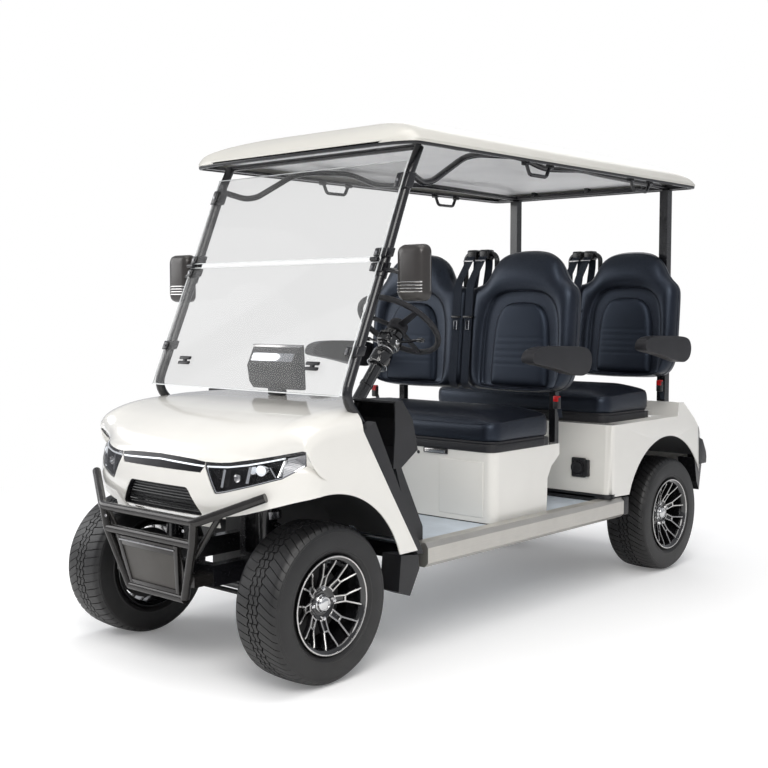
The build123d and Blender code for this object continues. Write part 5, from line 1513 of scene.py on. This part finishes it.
def makeRoofFrame():
    z0, z1 = roof["rim"], roof["rim"] + roof["band"]
    # rim: a band round the edge with a rolled lower lip
    ys = [roof["front"] + v for v in (0.0, 0.006, 0.015, 0.03, 0.045, 0.06)]
    ys += [roof["front"] + 0.06 + (roof["back"] - roof["front"] - 0.11) * k / 40 for k in range(1, 40)]
    ys += [roof["back"] - v for v in (0.05, 0.035, 0.02, 0.01, 0.003, 0.0)]
    outer = [(roofPlanHalf(y) - 0.002, y) for y in ys]
    loop = outer + [(-x, y) for x, y in reversed(outer)]
    verts = []
    for inset, z in ((0, z1), (0, z0 + 0.003), (0.002, z0), (0.012, z0), (0.014, z0 + 0.003), (0.036, z0 + 0.006),
                     (0.036, z1)):
        verts += [(x, y, z) for x, y in (insetLoop(loop, inset) if inset else loop)]
    loops = [list(range(k, k + len(loop))) for k in range(0, len(verts), len(loop))]
    parts = [fixNormals(meshFrom("roofRim", verts, ringFaces(loops + loops[:1])))]
    reach = roofFrame["gripLong"]
    for side in (1, -1):
        pts = [(side * x, frontAxle + y, z) for x, y, z in roofFrame["side"]]
        parts.append(rod(pts, roofFrame["bar"], 0.07, 20))
        x = side * roofFrame["gripX"]
        for y in [frontAxle + y for y in roofFrame["grips"]]:
            grip = [(x, y - 0.012, z0 + 0.006), (x, y + 0.016, z0 - 0.046), (x, y + reach - 0.016, z0 - 0.046),
                    (x, y + reach + 0.012, z0 + 0.006)]
            parts.append(rod(grip, 0.0078, 0.014, 12))
            for end in (y - 0.012, y + reach + 0.012):
                parts.append(cube((x - 0.013, end - 0.014, z0 - 0.010), (x + 0.013, end + 0.014, z0 + 0.008), 0.003))
    y, z = rearAxle + 0.165, roofFrame["z"]
    parts.append(rod([(-0.575, y, z - 0.006), (0.575, y, z - 0.006)], 0.014, sides=20))
    for x in (-0.34, 0.0, 0.34):
        parts.append(cube((x - 0.012, y - 0.016, z - 0.004), (x + 0.012, y + 0.016, z + 0.030), 0.003))
    dress(parts, "roofFrameTubes", "frameBlack", "frame_black", "roof_frame")
    # liner: a pale moulded ceiling with shallow stepped panels
    nx, ny, inset = roofFrame["linerColumns"], roofFrame["linerRows"], roofFrame["linerInset"]
    y0, y1 = roof["front"] + inset, roof["back"] - inset
    step = lambda run, soft: 1 / (1 + math.exp(run / soft))
    verts = []
    for j in range(ny + 1):
        y = y0 + (y1 - y0) * j / ny
        half = roofPlanHalf(y)
        for i in range(nx + 1):
            x = (half - inset) * (-1 + 2 * i / nx)
            panel = 0.010 * step(abs(x) - 0.36, 0.008) * step(y0 + 0.16 - y, 0.010) * step(y - y1 + 0.14, 0.010)
            border = 0.004 if i in (0, nx) or j in (0, ny) else 0.0
            verts.append((x, y, z1 - 0.004 + roofHeight(x, y, half) * 0.52 - panel + border))
    liner = meshFrom("roofLiner", verts, [(a, d, c, b) for a, b, c, d in gridFaces(ny + 1, nx + 1)])
    modify(liner, "SOLIDIFY", thickness=0.002, offset=0)
    dress(fixNormals(applyMods(liner)), "roofLiner", "linerGrey", "body_white", smooth=60)


makeRoofFrame()
print("roof frame ready")


# ---- mirrors ----
mirror = {"x": (0.592, 0.7225), "y": (0.330, 0.385), "z": (1.328, 1.532), "lines": (1.362, 1.3735, 1.385, 1.3965),
          "corner": 0.030,
          # the shell drawn in towards the front: place from the front, inset
          "rows": ((0.0, 0.030), (0.004, 0.014), (0.011, 0.006), (0.024, 0.0015), (0.044, 0.0), (0.052, 0.0008),
                   (0.055, 0.004))}


def makeMirrors():
    (xa, xb), (ya, yb), (za, zb) = mirror["x"], [frontAxle + v for v in mirror["y"]], mirror["z"]
    verts = []
    for dy, inset in mirror["rows"]:
        w, h = (xb - xa) / 2 - inset, (zb - za) / 2 - inset
        line = cornerArcs(-w, w, -h, h, max(0.012, mirror["corner"] - inset * 0.4), 8)
        verts += [((xa + xb) / 2 + x, ya + dy, (za + zb) / 2 + z) for x, z in line]
    loops = [list(range(k, k + len(line))) for k in range(0, len(verts), len(line))]
    shell = fixNormals(meshFrom("mirrorShell", verts, ringFaces(loops) + [tuple(loops[0]), tuple(reversed(loops[-1]))]))
    tree = surfaceTree(shell)
    lines = []
    for z in mirror["lines"]:
        pts = [(xa - 0.004 + (xb - xa + 0.008) * k / 24, ya - 0.004, z) for k in range(25)]
        lines.append(rod(onto(tree, pts, 0.0002), 0.0024, sides=8))
    pts = [(xb - 0.001, ya + 0.044, za + 0.035 + (zb - za - 0.07) * k / 16) for k in range(17)]
    lines.append(rod(onto(tree, pts, 0.0002), 0.0012, sides=8))
    face = roundPlan(xa + 0.008, xb - 0.008, za + 0.008, zb - 0.008, 0.024, 0, 0.0012)
    moved(face, (0, yb + 0.0006, 0), quarter, "X")
    h, z = glass["half"], glass["split"] - 0.040
    arm = [(h + 0.014, pillarAt(z), z), (h + 0.050, pillarAt(z), z), (0.628, frontAxle + 0.358, 1.425)]
    arm = rod(arm, 0.0095, 0.03)
    collar = rod([(h, pillarAt(v), v) for v in (z - 0.024, z + 0.024)], 0.0225, sides=24)
    for name, objs, finish in (("mirrorShell", [shell], "mirrorShell"), ("mirrorTrim", lines, "machined"),
                               ("mirrorFace", [face], "chrome"), ("mirrorArm", [arm, collar], "frameBlack")):
        one = joinAll(objs)
        dress([one, mirrored(one)], name, finish, "trim_black", "mirrors")


makeMirrors()
print("mirrors ready")


# ---- steering ----
steering = {"middle": (0.300, 0.690, 1.235), "tilt": 40.0, "radius": 0.172, "grip": 0.0118,
            "hub": ((0.0001, 0.016), (0.024, 0.0155), (0.033, 0.012), (0.039, 0.004), (0.041, -0.008), (0.040, -0.028),
                    (0.034, -0.034), (0.0001, -0.035)),
            "badge": ((0.0001, 0.0185), (0.016, 0.0180), (0.019, 0.0165), (0.020, 0.0140), (0.0001, 0.013)),
            "post": ((0.0001, -0.040), (0.030, -0.040), (0.040, -0.045), (0.0425, -0.055), (0.0425, -0.108),
                     (0.038, -0.116), (0.029, -0.119), (0.029, -0.132), (0.037, -0.136), (0.0415, -0.146),
                     (0.0415, -0.198), (0.037, -0.208), (0.0245, -0.212), (0.0245, -0.290), (0.027, -0.292),
                     (0.027, -0.305), (0.0245, -0.307), (0.0245, -0.424), (0.0001, -0.424)),
            "tip": ((0.0001, 0.0), (0.0075, 0.002), (0.0090, 0.008), (0.0085, 0.030), (0.0001, 0.032)),
            "key": ((0.0001, 0.0), (0.012, 0.0), (0.012, 0.014), (0.009, 0.017), (0.0001, 0.017)),
            # bright rings on the post: place, inner and outer radius
            "rings": ((-0.1095, 0.0415, 0.0434), (-0.1250, 0.0300, 0.0312), (-0.2030, 0.0415, 0.0434))}
steerAxis = Vector((0, math.sin(math.radians(steering["tilt"])), math.cos(math.radians(steering["tilt"]))))
steerAcross = Vector((1, 0, 0))
steerMiddle = (steering["middle"][0], frontAxle + steering["middle"][1], steering["middle"][2])
steerPlace = Matrix((*zip(steerAxis, steerAcross, steerAxis.cross(steerAcross), steerMiddle), (0, 0, 0, 1)))


def steerPiece(parts, name, finish, node, body="cart_body"):
    # parts drawn along the column, put in their place
    o = joinAll(parts)
    o.data.transform(steerPlace)
    dress(o, name, finish, "trim_black", node, body=body)


def makeSteering():
    r, g = steering["radius"], steering["grip"]
    turns = [2 * math.pi * k / 72 for k in range(72)]
    loop = rod([(0, r * math.cos(a), r * math.sin(a)) for a in turns], g, sides=20, cyclic=True)
    # moulded finger bumps inside the rim
    for v in loop.data.vertices:
        a = math.atan2(v.co.z, v.co.y)
        flat = Vector((0, math.cos(a) * r, math.sin(a) * r))
        inward = max(0.0, -(v.co - flat).dot(flat.normalized()) / g)
        v.co = flat + (v.co - flat) * (1 + 0.10 * inward * math.cos(a * 48))
    spoke = cube((-0.010, -0.015, 0.030), (-0.002, 0.015, r - 0.004), 0.003, 3)
    for v in spoke.data.vertices:
        v.co.y *= 1.0 - 0.30 * (v.co.z - 0.03) / r
        v.co.x -= 0.010 * math.sin(math.pi * min(1.0, v.co.z / r))
    steerPiece([loop, lathe(steering["hub"], 48), spread(spoke, 3)], "steeringWheelRim", "foamBlack", "steering_wheel",
               "steering_wheel")
    steerPiece([lathe(steering["badge"], 40)], "steeringWheelCap", "plasticGloss", "steering_wheel", "steering_wheel")
    post = [lathe(steering["post"], 48), cube((-0.112, -0.030, -0.050), (-0.058, 0.030, 0.044), 0.010, 3)]
    for side in (-1, 1):
        stalk = [(-0.082, side * 0.030, 0.0), (-0.080, side * 0.075, 0.006), (-0.064, side * 0.128, 0.012)]
        post += [rod(stalk, 0.0055, 0.03, 12),
                 moved(lathe(steering["tip"], 20), (-0.064, side * 0.124, 0.012), side * quarter)]
    steerPiece(post, "steeringPost", "plasticGloss", "steering_column")
    rings = [lathe(((inner, u + 0.0016), (outer, u), (inner, u - 0.0016)), 40) for u, inner, outer in steering["rings"]]
    rings.append(moved(lathe(steering["key"], 32), (-0.086, 0.028, 0.0), quarter))
    steerPiece(rings, "steeringRings", "chrome", "steering_column")


makeSteering()
print("steering ready")


# ---- display on the dash ----
display = {"half": 0.138, "side": ((0.300, 0.986), (0.2785, 1.012), (0.2640, 1.078), (0.2700, 1.090), (0.2960, 1.150),
                                   (0.3020, 1.1585), (0.3260, 1.1585), (0.3295, 1.150), (0.3295, 0.986)),
           "brow": ((0.2935, 1.150), (0.2985, 1.1606), (0.3265, 1.1606), (0.3265, 1.1570)),
           # the band on the upper sloped front: heights, how far it stands out, how thick it is
           "band": (1.096, 1.128, 0.0016, 0.0024)}


def makeDisplay():
    case = slabX([(frontAxle + y, z) for y, z in display["side"]], -display["half"], display["half"], 0.0035, 3)
    for v in case.data.vertices:
        v.co.x *= 1.0 - 0.06 * (v.co.z - 0.986) / 0.17
    case = [case, cube((-0.040, frontAxle + 0.290, 0.962), (0.040, frontAxle + 0.320, 0.990), 0.004)]
    z0, z1, out, deep = display["band"]
    (ya, za), (yb, zb) = display["side"][3:5]
    y0, y1 = [frontAxle + ya + (z - za) * (yb - ya) / (zb - za) - out for z in (z0, z1)]
    gloss = slabX([(y0, z0), (y1, z1), (y1 + deep, z1), (y0 + deep, z0)], -0.118, 0.118, 0.0012)
    brow = slabX([(frontAxle + y, z) for y, z in display["brow"]], -0.131, 0.131, 0.001)
    screen = cube((-0.118, frontAxle + 0.3290, 1.006), (0.118, frontAxle + 0.3302, 1.140), 0.0004, 1)
    for o, name, finish, angle in ((case, "displayCase", "plasticBlack", 40), (gloss, "displayBand", "lampSilver", 30),
                                   (brow, "displayBrow", "machined", 30), (screen, "displayScreen", "screenDark", 30)):
        dress(o, name, finish, "trim_black", "display_box", angle)


makeDisplay()
print("display ready")


# ---- seat belts ----
belt = {"wide": 0.044, "thick": 0.0018, "middle": 0.0355, "lie": 0.009, "hoopBack": 0.165, "hoopHigh": 0.628,
        "shoulder": 0.484, "down": 0.034, "columns": (-0.5, -0.44, -0.15, 0.15, 0.44, 0.5)}


def strap(points, x, wide, name):
    # flat webbing along a path in (y, z), mapped in metres so that its weave follows it
    curve = bendPath([Vector((0, y, z)) for y, z in points], 0.030, 0.4, 5)
    dense = [curve[0]]
    for a, b in zip(curve, curve[1:]):
        n = max(1, round((b - a).length / 0.03))
        dense += [a + (b - a) * k / n for k in range(1, n + 1)]
    verts, faces, uvs = [], [], []
    run = 0.0
    n = len(belt["columns"])
    for j, p in enumerate(dense):
        if j:
            run += (p - dense[j - 1]).length
        ahead = (dense[min(j + 1, len(dense) - 1)] - dense[max(j - 1, 0)]).normalized()
        for lift in (0.0, belt["thick"]):
            for c in belt["columns"]:
                rise = lift - 0.0008 * math.cos(math.pi * c)
                verts.append((x + c * wide, p.y + ahead.z * rise, p.z - ahead.y * rise))
                uvs.append((c * wide, run))
    for j in range(len(dense) - 1):
        for k in range(n - 1):
            a = j * 2 * n + k
            faces.append((a, a + 1, a + 2 * n + 1, a + 2 * n))
            faces.append((a + n, a + 3 * n, a + 3 * n + 1, a + n + 1))
        for a, step in ((j * 2 * n, 1), (j * 2 * n + n - 1, -1)):
            faces.append((a, a + 2 * n, a + 3 * n, a + n)[::step])
    for a in (0, (len(dense) - 1) * 2 * n):
        faces.append(tuple(range(a, a + n)) + tuple(range(a + 2 * n - 1, a + n - 1, -1)))
    o = meshFrom(name, verts, faces)
    layer = o.data.uv_layers.new(name="strap")
    for loop in o.data.loops:
        layer.data[loop.index].uv = uvs[loop.vertex_index]
    with editing(o):
        bpy.ops.mesh.normals_make_consistent(inside=False)
    return o


def makeBelts():
    for row, place in seat["rows"].items():
        y, z, lie = place["backY"], place["backZ"], belt["lie"]
        hoopY, hoopZ = y + belt["hoopBack"], z + belt["hoopHigh"]
        lean = math.tan(math.radians(seat["lean"]))
        over, overY = z + belt["shoulder"], y - lie + belt["shoulder"] * lean
        path = [(hoopY + 0.005, hoopZ + 0.0125), (hoopY - 0.012, hoopZ + 0.0125), (overY, over),
                (y - lie - 0.001, z + 0.024), (y + 0.014, z - 0.004), (y + 0.064, z - 0.010)]
        # the free run behind, from the hoop down to the bar
        back = [(hoopY + 0.010, hoopZ + 0.0105), (hoopY + 0.0135, hoopZ - 0.004), (hoopY + 0.014, hoopZ - 0.060),
                (y + 0.140, z + 0.395)]
        barY = hoopY - 0.0185 + (0.0125 + belt["down"]) / (hoopZ + 0.0125 - over) * (overY - hoopY + 0.012)
        straps, guides, bars, plates = [], [], [], []
        for x in (belt["middle"], -belt["middle"]):
            straps += [strap(path, x, belt["wide"], "strap"), strap(back, x, belt["wide"] * 0.96, "strapBack")]
            # guide block on the hoop with a bright bar under it, and the latch plate lying on the strap
            guides.append(cube((x - 0.027, hoopY - 0.034, hoopZ - 0.030), (x + 0.027, hoopY + 0.021, hoopZ + 0.0190),
                               0.009, 3))
            bars.append(rod([(v, barY, hoopZ - belt["down"]) for v in (x - 0.029, x + 0.029)], 0.0040, sides=10))
            yy, zz = y - lie + 0.330 * lean - 0.0060, z + 0.330
            guides.append(cube((x - 0.028, yy - 0.003, zz - 0.005), (x + 0.028, yy + 0.004, zz + 0.005), 0.002))
            yy, zz = y - lie + 0.292 * lean - 0.0060, z + 0.292
            corners = ((-0.0085, 0.020), (0.0085, 0.020), (0.0085, -0.020), (-0.0085, -0.020))
            plates.append(rod([(x + a, yy + b * lean, zz + b) for a, b in corners], 0.0034, 0.0, 10, True))
        dress(straps, row + "BeltStraps", "webbing", "webbing", "seat_belts")
        for objs, name, finish in ((guides, "Guides", "guideBlack"), (bars, "Bars", "chrome"),
                                   (plates, "Plates", "chrome")):
            dress(objs, row + "Belt" + name, finish, "trim_black", "seat_belts")
        # buckle on a stalk at each outer rear corner of the seat
        for side, word in sides:
            bx, by, bz = side * 0.5385, y + 0.004, z - 0.040
            stalk = strap([(by + 0.030, bz - 0.070), (by + 0.016, bz - 0.030), (by, bz + 0.004)], bx, 0.022, "stalk")
            dress(stalk, row + "BuckleStrap" + word, "webbing", "webbing")
            case = cube((bx - 0.0145, by - 0.012, bz - 0.030), (bx + 0.0145, by + 0.012, bz + 0.024), 0.005, 3)
            dress(case, row + "BuckleCase" + word, "plasticBlack", "trim_black")
            key = cube((bx - 0.014, by - 0.0125, bz), (bx + 0.014, by + 0.010, bz + 0.0275), 0.004, 3)
            dress(key, row + "BuckleKey" + word, "buckleRed", "lamp_red")


makeBelts()
print("belts ready")


# ---- seat box, rear body and trim ----
bodyParts = {"boxY": 1.030, "boxZ": 0.705, "boxHalf": 0.520, "boxCorner": 0.044, "rearFront": -0.572, "half": 0.600,
             "rearCorner": 0.040, "cadCorner": 0.022, "socket": (0.438, 0.558, 0.046), "latch": (0.160, 0.272),
             "spring": (0.268, 0.020, 0.315, 0.560, 0.031, 0.0062, 7)}


def cadCopy(name):
    # a merged copy of a CAD node's mesh, to be shaped further
    with editing(link(bpy.data.objects.new("copy", nodes[name].data.copy()))) as o:
        bpy.ops.mesh.remove_doubles(threshold=0.00002)
        bpy.ops.mesh.dissolve_limited(angle_limit=math.radians(1.0))
    return o


def makeSeatBox():
    y = frontAxle + bodyParts["boxY"]
    h, r = bodyParts["boxHalf"], bodyParts["boxCorner"]
    box = cadCopy("front_seat_box")
    for inset in (0.005, 0.0):
        near = lambda v: abs(abs(v.x) - h + inset) < 0.0008 and abs(v.y - y - inset) < 0.0008
        roundEdges(box, lambda a, b: near(a) and near(b) and abs(a.z - b.z) > 0.05, r - inset, 7)
    dress(box, "seatBoxShell", "paintWhite", "body_white", "front_seat_box", 35)
    # raised mouldings on the front and a dark joint round the foot
    ribs = [cube((x, y - 0.0035, 0.4300), (x + 0.235, y + 0.001, 0.6650), 0.0034, 3) for x in (-0.470, 0.235)]
    dress(ribs, "seatBoxMoulding", "paintWhite", "body_white")
    foot = roundPlan(-h - 0.003, h + 0.003, y - 0.003, y + 0.3995, r + 0.003, 0.4053, 0.4085)
    (x0, x1), z = bodyParts["latch"], bodyParts["boxZ"]
    hole = moved(lathe(((0.0001, 0.0016), (0.0075, 0.0016), (0.0075, 0.0), (0.0001, 0.0)), 24),
                 (0.118, y - 0.0016, z - 0.026), quarter)
    dark = cube((x0 - 0.010, y - 0.006, z - 0.0225), (x1 + 0.010, y + 0.001, z - 0.0012), 0.002)
    dress([foot, hole, dark], "seatBoxTrim", "plasticBlack", "trim_black")
    latch = cube((x0, y - 0.0105, z - 0.0195), (x1, y - 0.005, z - 0.0040), 0.0018)
    dress(latch, "seatLatch", "machined", "trim_black")
    for row, place in seat["rows"].items():
        cy, cz = place["cushionY"], place["cushionZ"]
        lip = roundPlan(-0.5235, 0.5235, cy - 0.0055, cy + 0.411, 0.050, cz - 0.0012, cz + 0.0330, 0.005)
        welt = roundPlan(-0.5190, 0.5190, cy - 0.0010, cy + 0.411, 0.050, cz + 0.0320, cz + 0.0440, 0.004)
        dress([lip, welt], row + "TrayLip", "foamBlack", "trim_black", body=row + "_lid")


def softenCorners(o, half, front, r, was):
    # cut the two front corners into narrow columns, then swing them out of the old radius into a larger one
    c = r - was
    with editing(o):
        for step in (0.0, 0.25, 0.5, 0.75, 1.0):
            for place, normal in (((0, front + r - step * c, 0), (0, 1, 0)), ((half - r + step * c, 0, 0), (1, 0, 0)),
                                  ((-half + r - step * c, 0, 0), (1, 0, 0))):
                bpy.ops.mesh.select_all(action="SELECT")
                bpy.ops.mesh.bisect(plane_co=place, plane_no=normal, use_fill=False, clear_inner=False,
                                    clear_outer=False)
    for v in o.data.vertices:
        dx, dy = abs(v.co.x) - half + r, front + r - v.co.y
        away = math.hypot(dx, dy)
        if min(dx, dy) <= 0 or away < 1e-6:
            continue
        ux, uy = dx / away, dy / away
        edge = r / max(ux, uy)
        if edge * min(ux, uy) > c:
            m = c * (ux + uy)
            edge = m + math.sqrt(max(0.0, m * m - 2 * c * c + was * was))
        grow = r / edge
        v.co.x = math.copysign(half - r + dx * grow, v.co.x)
        v.co.y = front + r - dy * grow


def makeRearBody():
    y = rearAxle + bodyParts["rearFront"]
    h, r = bodyParts["half"], bodyParts["rearCorner"]
    shell = cadCopy("rear_body")
    softenCorners(shell, h, y, r, bodyParts["cadCorner"])

    def atSide(v):
        away = math.hypot(abs(v.x) - h + r, y + r - v.y)
        corner = abs(v.x) > h - r - 0.001 and v.y < y + r + 0.001 and abs(away - r) < 0.0012
        return abs(v.x) > h - 0.0012 or v.y < y + 0.0012 or corner

    def atTop(a, b):
        tall = abs(a.z - b.z)
        return (atSide(a) and atSide(b) and a.z > 0.66 and b.z > 0.66
                and (a.z + b.z > 1.5276 or abs(a.x - b.x) < 0.001)
                and tall < 0.40 and (tall < 0.05 or abs(a.y - b.y) > 0.02))

    roundEdges(shell, atTop, 0.0125, 4)
    dress(shell, "rearBodyShell", "paintWhite", "body_white", "rear_body", 35)
    low = roundPlan(-0.534, 0.534, y - 0.006, y + 0.030, 0.012, 0.4060, 0.4320, 0.002)
    wide = roundPlan(-h - 0.002, h + 0.002, y - 0.006, y + 0.060, 0.042, 0.4213, 0.4420, 0.002)
    sx, sz, half = bodyParts["socket"]
    plate = cube((sx - half, y - 0.010, sz - half), (sx + half * 0.72, y + 0.004, sz + half), 0.008, 3)
    tall = half * 0.86
    hinge = cube((sx + half * 0.60, y - 0.016, sz - tall), (sx + half * 1.12, y + 0.004, sz + tall), 0.005, 3)
    lid, collar = [moved(lathe(profile, 36), (sx - half * 0.16, y - 0.010, sz), -quarter) for profile in (
        ((0.0001, 0.012), (0.020, 0.0115), (0.027, 0.009), (0.0285, 0.004), (0.0285, 0.0), (0.0001, 0.0)),
        ((0.030, 0.006), (0.035, 0.006), (0.036, 0.0), (0.030, 0.0), (0.030, 0.006)))]
    dress([low, wide, plate, hinge, lid, collar], "rearBodyTrim", "plasticBlack", "trim_black")


def makeUnder():
    # dark panels behind the front wheels, partly splash panels and partly painted shade that closes the view under the
    # cart, and a coil spring each side
    shieldAndShade = [cube((-half, frontAxle + y0, z0), (half, frontAxle + y1, z1), bevel) for half, y0, y1, z0, z1, bevel in (
        (0.355, 0.335, 0.343, 0.205, 0.640, 0.003), (0.262, -0.196, 0.334, 0.612, 0.618, 0.002),
        (0.500, -0.165, -0.020, 0.648, 0.653, 0.002), (0.470, 0.358, 0.366, 0.205, 0.345, 0.003))]
    dress(shieldAndShade, "splashPanelAndShade", "linerBlack", "trim_black")
    x, y, low, high, r, gauge, turns = bodyParts["spring"]
    coils, damper = [], []
    for side in (-1, 1):
        pts = []
        for k in range(turns * 20 + 1):
            a = 2 * math.pi * k / 20
            pts.append((side * x + r * math.cos(a), frontAxle + y + r * math.sin(a),
                        low + 0.02 + (high - low - 0.04) * k / (turns * 20)))
        coils.append(rod(pts, gauge, sides=10))
        for z0, z1, wide in ((low - 0.012, low + 0.016, r + 0.008), (high - 0.016, high + 0.010, r + 0.008),
                             (low, high, 0.014)):
            damper.append(moved(lathe(((0.0001, z0), (wide, z0), (wide, z1), (0.0001, z1)), 32),
                                (side * x, frontAxle + y, 0), -quarter, "Y"))
    dress(coils, "frontSprings", "plasticGloss", "frame_black", smooth=50)
    dress(damper, "frontDampers", "steelGrey", "frame_black")


def makeTailLamps():
    # a dark frame round each lamp and raised ribs across it
    ya, za, yb, zb = rearAxle + 0.332, 0.659, rearAxle + 0.392, 0.560
    run = math.hypot(yb - ya, zb - za)
    along, out = Vector((0, (yb - ya) / run, (zb - za) / run)), Vector((0, -(zb - za) / run, (yb - ya) / run))

    def plate(x0, x1, r0, r1, l0=0.0152, l1=0.0178, bevel=0.0010):
        pts = [Vector((0, ya, za)) + along * r + out * l for r, l in ((r0, l0), (r1, l0), (r1, l1), (r0, l1))]
        return slabX([(p.y, p.z) for p in pts], x0, x1, bevel)

    for side, word in sides:
        low, high = sorted((side * 0.350, side * 0.460))
        border = [plate(*edges, 0.0003, 0.0145, 0.0016) for edges in (
            (low - 0.006, low, 0.004, 0.106), (high, high + 0.006, 0.004, 0.106), (low, high, 0.003, 0.010),
            (low, high, 0.100, 0.107))]
        dress(border, "tailLampFrame" + word, "plasticGloss", "trim_black")
        runs = [(0.015 + 0.0135 * k, 0.0235 + 0.0135 * k) for k in range(3)] + [(0.0780, 0.0960)]
        dress([plate(low + 0.003, high - 0.003, *pair) for pair in runs], "tailLampRibs" + word, "lampRed", "lamp_red")
        dress(plate(low + 0.003, high - 0.003, 0.060, 0.074), "tailLampClear" + word, "lampFrost", "lamp_clear")


def makeCaps():
    # dark caps: one closes the rear end of each sill, one each lower rear corner of the body
    outline = ((0.307, 0.498), (0.394, 0.498), (0.397, 0.530), (0.389, 0.560), (0.371, 0.590), (0.350, 0.624),
               (0.307, 0.640))
    ends, corners = [], []
    for side in (-1, 1):
        low, high = sorted((side * 0.545, side * 0.599))
        ends.append(cube((low, 0.7205, 0.332), (high, 0.772, 0.4195), 0.006, 3))
        corners.append(slabX([(rearAxle + y, z) for y, z in outline], *sorted((side * 0.532, side * 0.5975)), 0.003))
    dress(ends, "sillEndCaps", "plasticBlack", "trim_black")
    dress(corners, "rearCornerCaps", "plasticBlack", "trim_black")


makeCaps()
makeTailLamps()
makeSeatBox()
makeRearBody()
makeUnder()
print("body ready")
